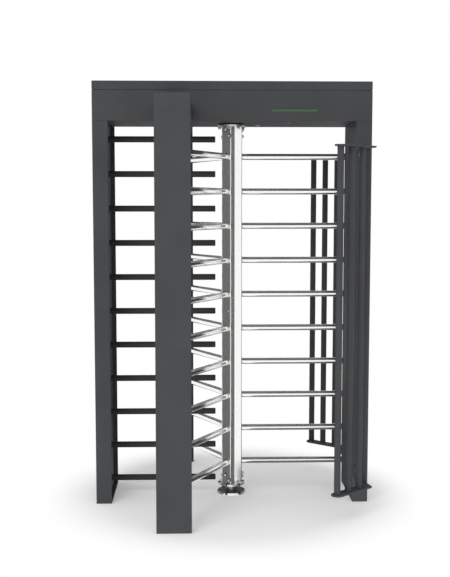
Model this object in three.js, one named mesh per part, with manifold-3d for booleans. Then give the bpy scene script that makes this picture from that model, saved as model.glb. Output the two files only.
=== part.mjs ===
// Full height turnstile, millimetres, +Z up.
// The origin is where the rotor's axis meets the floor, -Y is the front and the comb is on the -X side.
import * as THREE from "three";
import { mergeVertices } from "three/addons/utils/BufferGeometryUtils.js";
import Module from "manifold-3d";

const wasm = await Module();
wasm.setup();

// Clearances and shared sheet work
const fitGap = 0.3; // between pieces that touch
const runGap = 0.6; // between pieces that turn or slide past each other
const cutOver = 2; // how far a cutting shape runs past the face it cuts
const mergeReach = 0.001; // corners closer than this are one corner
const sheet = 3; // folded sheet of the casings and posts
const basePlate = 10; // plate welded across the foot of a post
const roundSides = 16;
const fineSides = 32;

// Header
const frameWidth = 1500;
const frameHeight = 2300;
const headerDepth = 400;
const headerHeight = 210;
const lidHeight = 48;
const lidSeam = 2;
const lipLap = 20;
const lipInset = 50;
const lightLength = 245;
const lightHeight = 10;
const lightCentre = 331.5;
const lightRise = 50;
const lightDepth = 12;
const lightProud = 0.5;

// Service hatch in the header's underside, and its quarter-turn lock
const hatchLength = 400;
const hatchWidth = 300;
const hatchStart = 110;
const hatchShift = 25;
const hatchGap = 0.8;
const lockInset = 28;
const lockHead = 22;
const lockHeadHeight = 2.5;
const lockBarrel = 16;
const lockCamLength = 40;
const lockCamWidth = 14;
const lockCamHeight = 3;
const lockCamRise = 1;

// Side posts: the left one is open towards the comb, the right one has a cover panel on its outer face
const sidePostWidth = 85;
const postLip = 15;
const combRecess = 22;
const carrierFold = 25;
const coverMargin = 35;
const coverFoot = 120;
const coverHead = 190;

// Posts in front and behind, and the arms of the header that reach them
const endPostWidth = 178;
const endPostThickness = 50;
const endPostInset = 220;
const endPostClearance = 31;
const endArmHeight = 90;

// Rotor
const armCount = 10;
const armDiameter = 34;
const armWall = 2;
const armCap = 3;
const wingClearance = 25;
const wingAngles = [0, 120, 240];
const betweenAngle = 60; // from a wing to the plane where its spine meets the next one
const spineReach = 59;
const spineWidth = 58;
const spineBend = 5;
const flangeDiameter = 150;
const flangeThickness = 10;
const hubDiameter = 56;
const hubHeight = 70;
const rotorDrop = 7; // from the header's underside to the top flange

// Comb
const combBase = 90; // lowest bar above the floor
const combHeadroom = 85; // from the top bar to the header's underside
const combDiameter = 34;
const combWall = 2;
const combCap = 4;
const combClearance = 24;

// Guards, one in front and one behind the right post: each runs out from the post, then bends in
const guardInset = 16; // from the frame's outer side to the guard's
const guardReach = 224; // from the post to the bend, along the guard's outer side
const guardSlant = 39.6; // degrees between the slanted leg and the header
const guardSlantLength = 241; // from the bend to the last tube
const guardBendRadius = 20;
const guardTubeDiameter = 34;
const guardTubeWall = 2;
const guardSlantTubes = 3;
const guardTubePitch = 84; // along the slanted leg
const guardFirstTube = 140; // from the post to the tube on the straight leg
const guardMargin = 146; // from the floor to the bottom plate, and from the top plate to the header
const guardPlateWidth = 62;
const guardPlateThickness = 8;
const guardFlangeHeight = 60;

// Floor pivot under the rotor
const pivotDiameter = 154;
const pivotThickness = 14;
const spigotDiameter = 40;
const spigotShoulder = 64;
const spigotShoulderHeight = 22;
const spigotReach = 40;
const thrustDiameter = 76;
const thrustRingShare = 0.3; // of the thrust bearing's height, for each of its two rings
const bottomHubDrop = 8;
const flangeRise = 52; // underside of the bottom flange above the floor

// Top bearing, a 40 x 80 x 18 deep groove bearing
const shaftDiameter = 40;
const shaftFootDiameter = 100;
const shaftFootHeight = 8;
const bearingOuter = 80;
const bearingWidth = 18;
const bearingRing = 6.5;
const bearingShield = 1.5;
const housingFlange = 140;
const housingFlangeHeight = 8;
const housingWall = 10;
const floorHole = 120;

// Mechanism plate and what stands on it
const plateThickness = 10;
const plateLength = 405;
const plateWidth = 330;
const plateEnd = 100;
const discDiameter = 152;
const discThickness = 10;
const discRise = 6; // above the bearing housing
const notchCount = 6;
const notchWidth = 24;
const notchDepth = 14;
const gearModule = 4;
const pressureAngle = 20;
const addendumShare = 0.95; // of the module, above the pitch circle
const dedendumShare = 1.25; // of the module, below the pitch circle
const gearTeeth = 42;
const pinionTeeth = 18;
const gearThickness = 12;
const gearRise = 6; // above the lock disc
const gearBacklash = 0.6;
const shaftTopRise = 14;
const gearboxWidth = 72;
const gearboxReach = 46; // from the output shaft to the motor
const gearboxBelow = 8;
const motorDiameter = 56;
const motorLength = 125;
const motorShaft = 14;
const controlLength = 280;
const controlDepth = 80;
const controlHeight = 120;
const controlStart = 150;
const controlRise = 12;

// Locking pawls and their solenoids, in a frame turned so that the notch lies on +X
const pawlAngle = 60;
const pawlArm = 90;
const pawlTail = 50;
const pawlWidth = 16;
const pawlLift = 12.5; // from the disc's rim to the pawl's inner face when it is lifted
const noseWidth = 18;
const noseShift = 2.5;
const noseGap = 4;
const pinDiameter = 12;
const plungerDiameter = 12;
const plungerTravel = 6.7;
const solenoidLength = 50;
const solenoidWidth = 40;
const solenoidHeight = 62;
const solenoidSetback = 17;

// Heights and distances worked out from the sizes above
const halfWidth = frameWidth / 2;
const halfDepth = headerDepth / 2;
const headerBottom = frameHeight - headerHeight;
const headerFloor = headerBottom + sheet;
const lidBottom = frameHeight - lidHeight;
const casingTop = lidBottom - lidSeam;
const postInner = halfWidth - sidePostWidth;
const wingRadius = postInner - wingClearance;
const endPostInner = Math.sqrt((wingRadius + endPostClearance) ** 2 - endPostInset ** 2);
const endPostOuter = endPostInner + endPostThickness;
const columnReach = Math.hypot(spineReach, spineWidth / 2);
const bottomFlangeTop = flangeRise + flangeThickness;
const topFlangeTop = headerBottom - rotorDrop;
const topFlangeBottom = topFlangeTop - flangeThickness;
const armPitch = (headerBottom - combBase - combHeadroom) / armCount;
const lowestArm = combBase + armPitch / 2;
const guardBottom = guardMargin;
const guardTop = headerBottom - guardMargin;
const plateBottom = headerFloor + fitGap;
const plateTop = plateBottom + plateThickness;
const housingBottom = plateTop + fitGap;
const bearingBottom = housingBottom + housingFlangeHeight + fitGap;
const bearingTop = bearingBottom + bearingWidth;
const discBottom = bearingTop + discRise;
const discTop = discBottom + discThickness;
const gearBottom = discTop + gearRise;
const gearTop = gearBottom + gearThickness;
const pinionOffset = (gearModule * (gearTeeth + pinionTeeth)) / 2;

const group = new THREE.Group();

// Solid modelling helpers

function solid(geometry) {
  const bare = geometry.index ? geometry.toNonIndexed() : geometry.clone();
  bare.deleteAttribute("normal");
  bare.deleteAttribute("uv");
  const merged = mergeVertices(bare, mergeReach);
  const mesh = new wasm.Mesh({
    numProp: 3,
    vertProperties: merged.attributes.position.array,
    triVerts: new Uint32Array(merged.index.array),
  });
  return new wasm.Manifold(mesh);
}

function geometryOf(made) {
  const mesh = made.getMesh();
  const geometry = new THREE.BufferGeometry();
  geometry.setAttribute("position", new THREE.BufferAttribute(mesh.vertProperties, 3));
  geometry.setIndex(new THREE.BufferAttribute(mesh.triVerts, 1));
  return geometry;
}

const joined = (first, ...rest) => rest.reduce((made, next) => made.add(next), first);
const carved = (first, ...rest) => rest.reduce((made, next) => made.subtract(next), first);

// Box from its low and high limits on each axis
function block([x0, x1], [y0, y1], [z0, z1]) {
  const geometry = new THREE.BoxGeometry(x1 - x0, y1 - y0, z1 - z0);
  return solid(geometry.translate((x0 + x1) / 2, (y0 + y1) / 2, (z0 + z1) / 2));
}

// Upright round bar
function round(diameter, [z0, z1], x = 0, y = 0, sides = fineSides) {
  const geometry = new THREE.CylinderGeometry(diameter / 2, diameter / 2, z1 - z0, sides);
  return solid(geometry.rotateX(Math.PI / 2).translate(x, y, (z0 + z1) / 2));
}

// Round bar lying along X
function roundAlongX(diameter, [x0, x1], y, z, sides = roundSides) {
  const geometry = new THREE.CylinderGeometry(diameter / 2, diameter / 2, x1 - x0, sides);
  return solid(geometry.rotateZ(Math.PI / 2).translate((x0 + x1) / 2, y, z));
}

// Flat plate cut to an outline
function plateOf(shape, [z0, z1], curveSegments = roundSides) {
  const geometry = new THREE.ExtrudeGeometry(shape, { depth: z1 - z0, bevelEnabled: false, curveSegments });
  return solid(geometry.translate(0, 0, z0));
}

// Ring turned about Z from the radii and heights of its section
function turned(points, sides = fineSides) {
  const profile = [...points, points[0]].map(([r, z]) => new THREE.Vector2(r, z));
  return solid(new THREE.LatheGeometry(profile, sides).rotateX(Math.PI / 2));
}

// Materials: each piece has one of its own

const finishes = {
  graphitePaint: { color: 0x4a4b4c, roughness: 0.45, metalness: 0.1 },
  combPaint: { color: 0x37383a, roughness: 0.4, metalness: 0.1 },
  polishedSteel: { color: 0xd5d7d8, roughness: 0.12, metalness: 1 },
  blackenedSteel: { color: 0x454a49, roughness: 0.35, metalness: 0.8 },
  machinedSteel: { color: 0xa9acae, roughness: 0.35, metalness: 0.9 },
  castAluminium: { color: 0x9a9d9f, roughness: 0.6, metalness: 0.7 },
  greenLens: { color: 0x3c643c, roughness: 0.3, metalness: 0 },
  greyPlastic: { color: 0x8c9094, roughness: 0.55, metalness: 0 },
};

function addPart(name, made, finish, parent = group) {
  const mesh = new THREE.Mesh(geometryOf(made), new THREE.MeshStandardMaterial(finishes[finish]));
  mesh.name = name;
  parent.add(mesh);
  return mesh;
}

// Header: casing, lid and indicator light

const depthSpan = [-halfDepth, halfDepth];
const lightSpan = [lightCentre - lightLength / 2, lightCentre + lightLength / 2];
const lightHeights = [headerBottom + lightRise, headerBottom + lightRise + lightHeight];
const hatchSpan = [hatchStart, hatchStart + hatchLength];
const hatchAcross = [hatchShift - hatchWidth / 2, hatchShift + hatchWidth / 2];

const widened = ([low, high], by) => [low - by, high + by];

function shell(spanX, spanY, spanZ, { wall, opening }) {
  const hollow = [widened(spanX, -wall), widened(spanY, -wall), widened(spanZ, -wall)];
  const [axis, end] = opening;
  hollow[axis][end] = [spanX, spanY, spanZ][axis][end] + (end ? cutOver : -cutOver);
  return carved(block(spanX, spanY, spanZ), block(...hollow));
}

function headerCasing() {
  const spanX = [-halfWidth, halfWidth];
  const tray = shell(spanX, depthSpan, [headerBottom, casingTop], { wall: sheet, opening: [2, 1] });
  const lips = [-1, 1].map((side) => {
    const wallFace = side * (halfDepth - sheet);
    const lipSpan = [lipInset - halfWidth, halfWidth - lipInset];
    const outward = wallFace + (side * sheet) / 2;
    const inward = wallFace - side * (fitGap + sheet);
    const lap = block(lipSpan, [outward, inward].sort((a, b) => a - b), [casingTop - lipLap, casingTop]);
    const clear = wallFace - side * fitGap;
    const upstand = [casingTop - lipLap / 2, frameHeight - sheet - fitGap];
    return lap.add(block(lipSpan, [clear, inward].sort((a, b) => a - b), upstand));
  });
  const floorCut = [headerBottom - cutOver, headerFloor + cutOver];
  const slotDepth = [-halfDepth - cutOver, -halfDepth + sheet + cutOver];
  return carved(
    joined(tray, ...lips),
    round(floorHole, floorCut),
    block(hatchSpan, hatchAcross, floorCut),
    block(lightSpan, slotDepth, lightHeights),
  );
}

function headerLid() {
  const spanX = [-halfWidth, halfWidth];
  return shell(spanX, depthSpan, [lidBottom, frameHeight], { wall: sheet, opening: [2, 0] });
}

function lightLens() {
  const depth = [-halfDepth - lightProud, -halfDepth + lightDepth];
  return block(widened(lightSpan, -fitGap), depth, widened(lightHeights, -fitGap));
}

addPart("header_casing", headerCasing(), "graphitePaint");
addPart("header_lid", headerLid(), "graphitePaint");
addPart("indicator_light_lens", lightLens(), "greenLens");

// Side posts

const postHeights = [0, headerBottom - fitGap];

// Folded channel, closed across its foot, whose lips frame the recess that holds the comb
function leftPost() {
  const spanX = [-halfWidth, -postInner];
  const hollowHeights = [basePlate, postHeights[1] + cutOver];
  const hollow = block(widened(spanX, -sheet), widened(depthSpan, -sheet), hollowHeights);
  const mouthX = [-postInner - sheet - cutOver, -postInner + cutOver];
  const mouth = block(mouthX, widened(depthSpan, -postLip), hollowHeights);
  return carved(block(spanX, depthSpan, postHeights), hollow, mouth);
}

// Recessed plate that the comb is welded to, folded back along both edges
function combCarrier() {
  const face = -postInner - combRecess;
  const spanX = [face - carrierFold, face];
  const across = widened(depthSpan, -sheet - fitGap);
  const heights = [basePlate + fitGap, postHeights[1]];
  const hollowX = [face - carrierFold - cutOver, face - sheet];
  const hollow = block(hollowX, widened(across, -sheet), widened(heights, cutOver));
  return carved(block(spanX, across, heights), hollow);
}

const coverHeights = [coverFoot, headerBottom - coverHead];

function rightPost() {
  const spanX = [postInner, halfWidth];
  const hollowHeights = [basePlate, postHeights[1] + cutOver];
  const hollow = block(widened(spanX, -sheet), widened(depthSpan, -sheet), hollowHeights);
  const windowX = [halfWidth - sheet - cutOver, halfWidth + cutOver];
  const window = block(windowX, widened(depthSpan, -coverMargin), coverHeights);
  return carved(block(spanX, depthSpan, postHeights), hollow, window);
}

function postCover() {
  const across = widened(depthSpan, -coverMargin - runGap);
  return block([halfWidth - sheet, halfWidth], across, widened(coverHeights, -runGap));
}

addPart("left_post", leftPost(), "graphitePaint");
addPart("comb_carrier", combCarrier(), "graphitePaint");
addPart("right_post", rightPost(), "graphitePaint");
addPart("right_post_cover", postCover(), "graphitePaint");

// Posts in front and behind, each under an arm of the header

const endSpan = [-endPostInset - endPostWidth, -endPostInset];

function endPost(side) {
  const spanY = [side * endPostInner, side * endPostOuter].sort((a, b) => a - b);
  const hollowHeights = [basePlate, postHeights[1] + cutOver];
  const hollow = block(widened(endSpan, -sheet), widened(spanY, -sheet), hollowHeights);
  return carved(block(endSpan, spanY, postHeights), hollow);
}

function endArm(side) {
  const spanY = [side * (halfDepth + fitGap), side * endPostOuter].sort((a, b) => a - b);
  const spanZ = [headerBottom, headerBottom + endArmHeight];
  return shell(endSpan, spanY, spanZ, { wall: sheet, opening: [1, side < 0 ? 1 : 0] });
}

for (const [place, side] of [["front", -1], ["rear", 1]]) {
  addPart(place + "_arm", endArm(side), "graphitePaint");
  addPart(place + "_post", endPost(side), "graphitePaint");
}

// Comb: tubes welded to the carrier, capped at their free ends

const combEnd = columnReach + combClearance;

function combBar(height) {
  const span = [-postInner - combRecess + fitGap, -combEnd];
  const bore = [span[0] - cutOver, span[1] - combCap];
  const tube = roundAlongX(combDiameter, span, 0, height);
  return tube.subtract(roundAlongX(combDiameter - 2 * combWall, bore, 0, height));
}

for (let row = 0; row <= armCount; row++) {
  const name = "comb_bar_" + String(row + 1).padStart(2, "0");
  addPart(name, combBar(combBase + row * armPitch), "combPaint");
}

// Guards: bent plates on the right post, with upright tubes between them

const radians = THREE.MathUtils.degToRad;
const guardOuterX = halfWidth - guardInset;
const guardInnerX = guardOuterX - guardPlateWidth;
const guardFace = halfDepth + fitGap;
const guardCornerY = halfDepth + guardReach;
const guardTurn = radians(90 - guardSlant);
const slantReach = [-Math.sin(guardTurn), Math.cos(guardTurn)];
const slantInward = [-Math.cos(guardTurn), -Math.sin(guardTurn)];

// A point of the slanted leg, so far from the bend and so far in from the guard's outer side
function slantPoint(along, inward) {
  const x = guardOuterX + slantReach[0] * along + slantInward[0] * inward;
  const y = guardCornerY + slantReach[1] * along + slantInward[1] * inward;
  return [x, y];
}

function guardOutline() {
  const half = guardPlateWidth / 2;
  const tip = slantPoint(guardSlantLength, half);
  const cutBack = Math.tan(guardTurn / 2);
  const bendCentre = [guardOuterX - guardBendRadius, guardCornerY - guardBendRadius * cutBack];
  const shape = new THREE.Shape();
  shape.moveTo(guardOuterX, guardFace);
  shape.absarc(...bendCentre, guardBendRadius, 0, guardTurn, false);
  shape.absarc(...tip, half, guardTurn, guardTurn + Math.PI, false);
  shape.lineTo(guardInnerX, guardCornerY - guardPlateWidth * cutBack);
  shape.lineTo(guardInnerX, guardFace);
  shape.closePath();
  return shape;
}

// The plate of a guard, with the flange that bolts to the post turned towards the tubes
function guardPlate(z0, z1, flangeHeights) {
  const flangeDepths = [guardFace, guardFace + guardPlateThickness];
  const flange = block([guardInnerX, guardOuterX], flangeDepths, flangeHeights);
  return plateOf(guardOutline(), [z0, z1]).add(flange);
}

// Centres of the tubes, from the one nearest to the post to the one at the tip
const guardTubePlaces = [[guardOuterX - guardPlateWidth / 2, halfDepth + guardFirstTube]];
for (let i = guardSlantTubes - 1; i >= 0; i--) {
  const along = guardSlantLength - i * guardTubePitch;
  guardTubePlaces.push(slantPoint(along, guardPlateWidth / 2));
}

function guardTube(x, y) {
  const span = [guardBottom + guardPlateThickness + fitGap, guardTop - guardPlateThickness - fitGap];
  const bore = round(guardTubeDiameter - 2 * guardTubeWall, widened(span, cutOver), x, y, roundSides);
  return round(guardTubeDiameter, span, x, y, roundSides).subtract(bore);
}

for (const [place, side] of [["front", -1], ["rear", 1]]) {
  const mirrored = (made) => (side < 0 ? made.mirror([0, 1, 0]) : made);
  const lowPlate = [guardBottom, guardBottom + guardPlateThickness];
  const highPlate = [guardTop - guardPlateThickness, guardTop];
  const lowFlange = [guardBottom, guardBottom + guardFlangeHeight];
  const highFlange = [guardTop - guardFlangeHeight, guardTop];
  addPart(place + "_guard_bottom_plate", mirrored(guardPlate(...lowPlate, lowFlange)), "graphitePaint");
  addPart(place + "_guard_top_plate", mirrored(guardPlate(...highPlate, highFlange)), "graphitePaint");
  guardTubePlaces.forEach(([x, y], i) => {
    addPart(place + "_guard_tube_" + (i + 1), mirrored(guardTube(x, y)), "graphitePaint");
  });
}

// Rotor: three wings, each a folded spine with ten welded arms

// Channel section, open towards the axis, whose edges meet the neighbours' on the planes between wings
function spineOutline() {
  const half = spineWidth / 2;
  const edgeAngle = radians(betweenAngle / 2);
  const slope = Math.tan(edgeAngle);
  const shy = fitGap / 2 / Math.cos(edgeAngle);
  const inside = half - sheet;
  const innerBend = spineBend - sheet;
  const shape = new THREE.Shape();
  shape.moveTo(half * slope + shy, -half);
  shape.lineTo(spineReach - spineBend, -half);
  shape.absarc(spineReach - spineBend, -half + spineBend, spineBend, -Math.PI / 2, 0, false);
  shape.absarc(spineReach - spineBend, half - spineBend, spineBend, 0, Math.PI / 2, false);
  shape.lineTo(half * slope + shy, half);
  shape.lineTo(inside * slope + shy, inside);
  shape.lineTo(spineReach - spineBend, inside);
  shape.absarc(spineReach - spineBend, inside - innerBend, innerBend, Math.PI / 2, 0, true);
  shape.absarc(spineReach - spineBend, -inside + innerBend, innerBend, 0, -Math.PI / 2, true);
  shape.lineTo(inside * slope + shy, -inside);
  shape.closePath();
  return shape;
}

function wing() {
  const spine = plateOf(spineOutline(), [bottomFlangeTop + fitGap, topFlangeBottom - fitGap], 3);
  const rows = Array.from({ length: armCount }, (_, row) => lowestArm + row * armPitch);
  const root = spineReach - sheet;
  const tubes = rows.map((z) => roundAlongX(armDiameter, [root, wingRadius], 0, z));
  const boreSpan = [root - cutOver, wingRadius - armCap];
  const bores = rows.map((z) => roundAlongX(armDiameter - 2 * armWall, boreSpan, 0, z));
  return carved(joined(spine, ...tubes), ...bores);
}

wingAngles.forEach((angle, i) => {
  const turnedGroup = new THREE.Group();
  turnedGroup.rotation.z = radians(angle);
  addPart("rotor_wing_" + "abc"[i], wing(), "polishedSteel", turnedGroup);
  group.add(turnedGroup);
});

// Bottom flange: its collar runs on the thrust bearing and its hub fills the foot of the column
function bottomFlange() {
  const bore = spigotDiameter / 2 + runGap;
  const collar = thrustDiameter / 2;
  return turned([
    [bore, flangeRise - bottomHubDrop],
    [collar, flangeRise - bottomHubDrop],
    [collar, flangeRise],
    [flangeDiameter / 2, flangeRise],
    [flangeDiameter / 2, bottomFlangeTop],
    [hubDiameter / 2, bottomFlangeTop],
    [hubDiameter / 2, bottomFlangeTop + hubHeight],
    [bore, bottomFlangeTop + hubHeight],
  ]);
}

function topFlange() {
  const hub = round(hubDiameter, [topFlangeBottom - hubHeight, topFlangeTop]);
  return round(flangeDiameter, [topFlangeBottom, topFlangeTop]).add(hub);
}

function rotorShaft() {
  const foot = [topFlangeTop + fitGap, topFlangeTop + fitGap + shaftFootHeight];
  return round(shaftFootDiameter, foot).add(round(shaftDiameter, [foot[0], gearTop + shaftTopRise]));
}

addPart("rotor_bottom_flange", bottomFlange(), "polishedSteel");
addPart("rotor_top_flange", topFlange(), "polishedSteel");
addPart("rotor_shaft", rotorShaft(), "machinedSteel");

// Floor pivot: plate, spigot and thrust bearing

function pivotSpigot() {
  const [foot, shoulder] = [pivotThickness + fitGap, pivotThickness + fitGap + spigotShoulderHeight];
  const tip = bottomFlangeTop + spigotReach;
  return round(spigotShoulder, [foot, shoulder]).add(round(spigotDiameter, [foot, tip]));
}

function thrustBearing() {
  const low = pivotThickness + 2 * fitGap + spigotShoulderHeight;
  const high = flangeRise - bottomHubDrop - runGap;
  const bore = spigotDiameter / 2 + fitGap;
  const race = thrustDiameter / 2;
  const ringHeight = (high - low) * thrustRingShare;
  const waist = race - ringHeight;
  return turned([
    [bore, low],
    [race, low],
    [race, low + ringHeight],
    [waist, low + ringHeight],
    [waist, high - ringHeight],
    [race, high - ringHeight],
    [race, high],
    [bore, high],
  ]);
}

addPart("floor_pivot_plate", round(pivotDiameter, [0, pivotThickness]), "blackenedSteel");
addPart("floor_pivot_spigot", pivotSpigot(), "machinedSteel");
addPart("floor_thrust_bearing", thrustBearing(), "machinedSteel");

// Top bearing and its housing

function bearingHousing() {
  const seat = bearingOuter / 2 + fitGap;
  const wall = seat + housingWall;
  const throat = bearingOuter / 2 - bearingRing;
  return turned([
    [throat, housingBottom],
    [housingFlange / 2, housingBottom],
    [housingFlange / 2, housingBottom + housingFlangeHeight],
    [wall, housingBottom + housingFlangeHeight],
    [wall, bearingTop],
    [seat, bearingTop],
    [seat, housingBottom + housingFlangeHeight],
    [throat, housingBottom + housingFlangeHeight],
  ]);
}

// Outer ring with its shields, which stop just short of the inner ring
function bearingOuterRing() {
  const outer = bearingOuter / 2;
  const race = outer - bearingRing;
  const shieldEdge = shaftDiameter / 2 + bearingRing + runGap;
  return turned([
    [outer, bearingBottom],
    [outer, bearingTop],
    [shieldEdge, bearingTop],
    [shieldEdge, bearingTop - bearingShield],
    [race, bearingTop - bearingShield],
    [race, bearingBottom + bearingShield],
    [shieldEdge, bearingBottom + bearingShield],
    [shieldEdge, bearingBottom],
  ]);
}

function ring(outerRadius, innerRadius, [z0, z1]) {
  return turned([
    [innerRadius, z0],
    [outerRadius, z0],
    [outerRadius, z1],
    [innerRadius, z1],
  ]);
}

const shaftFit = shaftDiameter / 2 + fitGap;

addPart("top_bearing_housing", bearingHousing(), "castAluminium");
addPart("top_bearing_outer_ring", bearingOuterRing(), "machinedSteel");
const innerRing = ring(shaftDiameter / 2 + bearingRing, shaftFit, [bearingBottom, bearingTop]);
addPart("top_bearing_inner_ring", innerRing, "machinedSteel");

// Mechanism plate with the pivot pins of the pawls

const pawlInner = discDiameter / 2 + pawlLift;
const pawlPivot = [pawlInner + pawlWidth / 2, pawlArm];
const lockHeights = [discBottom, discTop];

function pawlPivotPlace(side) {
  const angle = side * radians(pawlAngle);
  const place = new THREE.Vector2(pawlPivot[0], side * pawlPivot[1]);
  return place.rotateAround(new THREE.Vector2(0, 0), angle);
}

function mechanismPlate() {
  const plateHeights = [plateBottom, plateTop];
  const slab = block([plateEnd - plateLength, plateEnd], [-plateWidth / 2, plateWidth / 2], plateHeights);
  const pins = [1, -1].map((side) => {
    const place = pawlPivotPlace(side);
    return round(pinDiameter, [plateTop - fitGap, discTop + fitGap], place.x, place.y, roundSides);
  });
  const shaftHole = round(bearingOuter - 2 * bearingRing, widened(plateHeights, cutOver));
  return joined(slab, ...pins).subtract(shaftHole);
}

addPart("mechanism_plate", mechanismPlate(), "machinedSteel");

// Lock disc: a notch for each rest position, and one half way between them that stops turning back

function lockDisc() {
  const edge = discDiameter / 2;
  const cutX = [edge - notchDepth, edge + cutOver];
  const cutY = [-notchWidth / 2, notchWidth / 2];
  const notches = Array.from({ length: notchCount }, (_, i) => {
    return block(cutX, cutY, widened(lockHeights, cutOver)).rotate([0, 0, i * betweenAngle]);
  });
  return carved(ring(edge, shaftFit, lockHeights), ...notches);
}

addPart("lock_disc", lockDisc(), "machinedSteel");

// Spur gears with involute flanks

function gearOutline(teeth, phase) {
  const pressure = radians(pressureAngle);
  const pitch = (gearModule * teeth) / 2;
  const base = pitch * Math.cos(pressure);
  const [root, tip] = [pitch - dedendumShare * gearModule, pitch + addendumShare * gearModule];
  const involute = (angle) => Math.tan(angle) - angle;
  const halfTooth = Math.PI / 2 / teeth - gearBacklash / 4 / pitch;
  const flank = (radius) => {
    const angle = radius > base ? Math.acos(base / radius) : 0;
    return halfTooth + involute(pressure) - involute(angle);
  };
  const radii = [root, (Math.max(root, base) + pitch) / 2, (pitch + tip) / 2, tip];
  const outline = [];
  for (let tooth = 0; tooth < teeth; tooth++) {
    const centre = phase + (tooth * 2 * Math.PI) / teeth;
    const rising = radii.map((r) => [r, centre - flank(r)]);
    const falling = radii.map((r) => [r, centre + flank(r)]).reverse();
    outline.push(...rising, ...falling);
  }
  return new THREE.Shape(outline.map(([r, a]) => new THREE.Vector2(r * Math.cos(a), r * Math.sin(a))));
}

const gearHeights = [gearBottom, gearTop];

function driveGear() {
  const bore = round(2 * shaftFit, widened(gearHeights, cutOver));
  return plateOf(gearOutline(gearTeeth, 0), gearHeights).subtract(bore);
}

function motorPinion() {
  const bore = round(motorShaft + 2 * runGap, widened(gearHeights, cutOver), 0, 0, roundSides);
  return plateOf(gearOutline(pinionTeeth, Math.PI / pinionTeeth), gearHeights).subtract(bore);
}

// Worm gearbox with its output shaft upright, and the motor lying away from the rotor
function gearmotor() {
  const half = gearboxWidth / 2;
  const foot = plateTop + fitGap;
  const top = gearBottom - gearboxBelow;
  const box = block([-gearboxReach, half], [-half, half], [foot, top]);
  const motorSpan = [-gearboxReach - motorLength, -gearboxReach];
  const middle = foot + motorDiameter / 2;
  const body = roundAlongX(motorDiameter, widened(motorSpan, cutOver), 0, middle, fineSides);
  const cradle = block(motorSpan, [-half, half], [foot, foot + sheet]);
  const output = round(motorShaft, [top - cutOver, gearTop], 0, 0, roundSides);
  return joined(box, body, cradle, output);
}

addPart("drive_gear", driveGear(), "machinedSteel");
const pinion = addPart("motor_pinion", motorPinion(), "machinedSteel");
const motor = addPart("gearmotor", gearmotor(), "castAluminium");
pinion.position.x = -pinionOffset;
motor.position.x = -pinionOffset;

// Locking pawls and solenoids: one of each to stop each way of turning

function pawl() {
  const tailEnd = pawlArm + pawlTail;
  const noseEnd = -noseWidth / 2 - noseShift;
  const arm = block([pawlInner, pawlInner + pawlWidth], [noseEnd, tailEnd], lockHeights);
  const noseX = [discDiameter / 2 + noseGap, pawlInner + cutOver];
  const nose = block(noseX, [noseEnd, noseEnd + noseWidth], lockHeights);
  const boss = round(2 * pawlWidth, lockHeights, ...pawlPivot, roundSides);
  const bore = round(pinDiameter + 2 * runGap, widened(lockHeights, cutOver), ...pawlPivot, roundSides);
  return joined(arm, nose, boss).subtract(bore);
}

const plungerLine = pawlArm + pawlTail - plungerDiameter / 2;
const plungerHeight = (discBottom + discTop) / 2;

// Rod with a domed tip that pushes on the pawl's tail
function plunger() {
  const dome = plungerDiameter / 2;
  const centre = pawlInner - fitGap - dome;
  const back = pawlInner - solenoidSetback - solenoidLength / 2 - plungerTravel;
  const rod = roundAlongX(plungerDiameter, [back, centre], plungerLine, plungerHeight);
  const tip = new THREE.SphereGeometry(dome, roundSides, roundSides / 2).rotateX(Math.PI / 2);
  return rod.add(solid(tip.rotateZ(Math.PI / 2).translate(centre, plungerLine, plungerHeight)));
}

function solenoid() {
  const front = pawlInner - solenoidSetback;
  const span = [front - solenoidLength, front];
  const across = widened([plungerLine, plungerLine], solenoidWidth / 2);
  const body = block(span, across, [plateTop + fitGap, plateTop + fitGap + solenoidHeight]);
  const back = front - solenoidLength / 2 - 2 * plungerTravel;
  const boreSpan = [back, front + cutOver];
  return body.subtract(roundAlongX(plungerDiameter + 2 * runGap, boreSpan, plungerLine, plungerHeight));
}

for (const [place, side] of [["rear", 1], ["front", -1]]) {
  const lock = new THREE.Group();
  lock.rotation.z = side * radians(pawlAngle);
  const mirrored = (made) => (side < 0 ? made.mirror([0, 1, 0]) : made);
  addPart(place + "_lock_pawl", mirrored(pawl()), "machinedSteel", lock);
  addPart(place + "_lock_plunger", mirrored(plunger()), "polishedSteel", lock);
  addPart(place + "_lock_solenoid", mirrored(solenoid()), "blackenedSteel", lock);
  group.add(lock);
}

// Control box on the header's rear wall, in reach through the service hatch

function controlBox() {
  const back = halfDepth - sheet - fitGap;
  const foot = headerFloor + controlRise;
  const spanX = [controlStart, controlStart + controlLength];
  return block(spanX, [back - controlDepth, back], [foot, foot + controlHeight]);
}

addPart("control_box", controlBox(), "greyPlastic");

// Service hatch, hinged along its rear edge, with a cam lock near its front edge

const lockCentre = [(hatchSpan[0] + hatchSpan[1]) / 2, hatchAcross[0] + lockInset];

function serviceHatch() {
  const heights = [headerBottom, headerFloor];
  const panel = block(widened(hatchSpan, -hatchGap), widened(hatchAcross, -hatchGap), heights);
  const hole = round(lockBarrel + 2 * runGap, widened(heights, cutOver), ...lockCentre, roundSides);
  return panel.subtract(hole);
}

function hatchLock() {
  const [x, y] = lockCentre;
  const camBottom = headerFloor + lockCamRise;
  const headTop = headerBottom - runGap;
  const head = round(lockHead, [headTop - lockHeadHeight, headTop], x, y, roundSides);
  const barrelHeights = [headTop - lockHeadHeight / 2, camBottom + lockCamHeight];
  const barrel = round(lockBarrel, barrelHeights, x, y, roundSides);
  const across = widened([y, y], lockCamWidth / 2);
  const cam = block([x, x + lockCamLength], across, [camBottom, camBottom + lockCamHeight]);
  return joined(head, barrel, cam);
}

addPart("service_hatch", serviceHatch(), "graphitePaint");
addPart("hatch_lock", hatchLock(), "machinedSteel");

export default group;
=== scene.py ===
"""Looks of a full height turnstile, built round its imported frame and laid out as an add-on."""
import math

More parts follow.
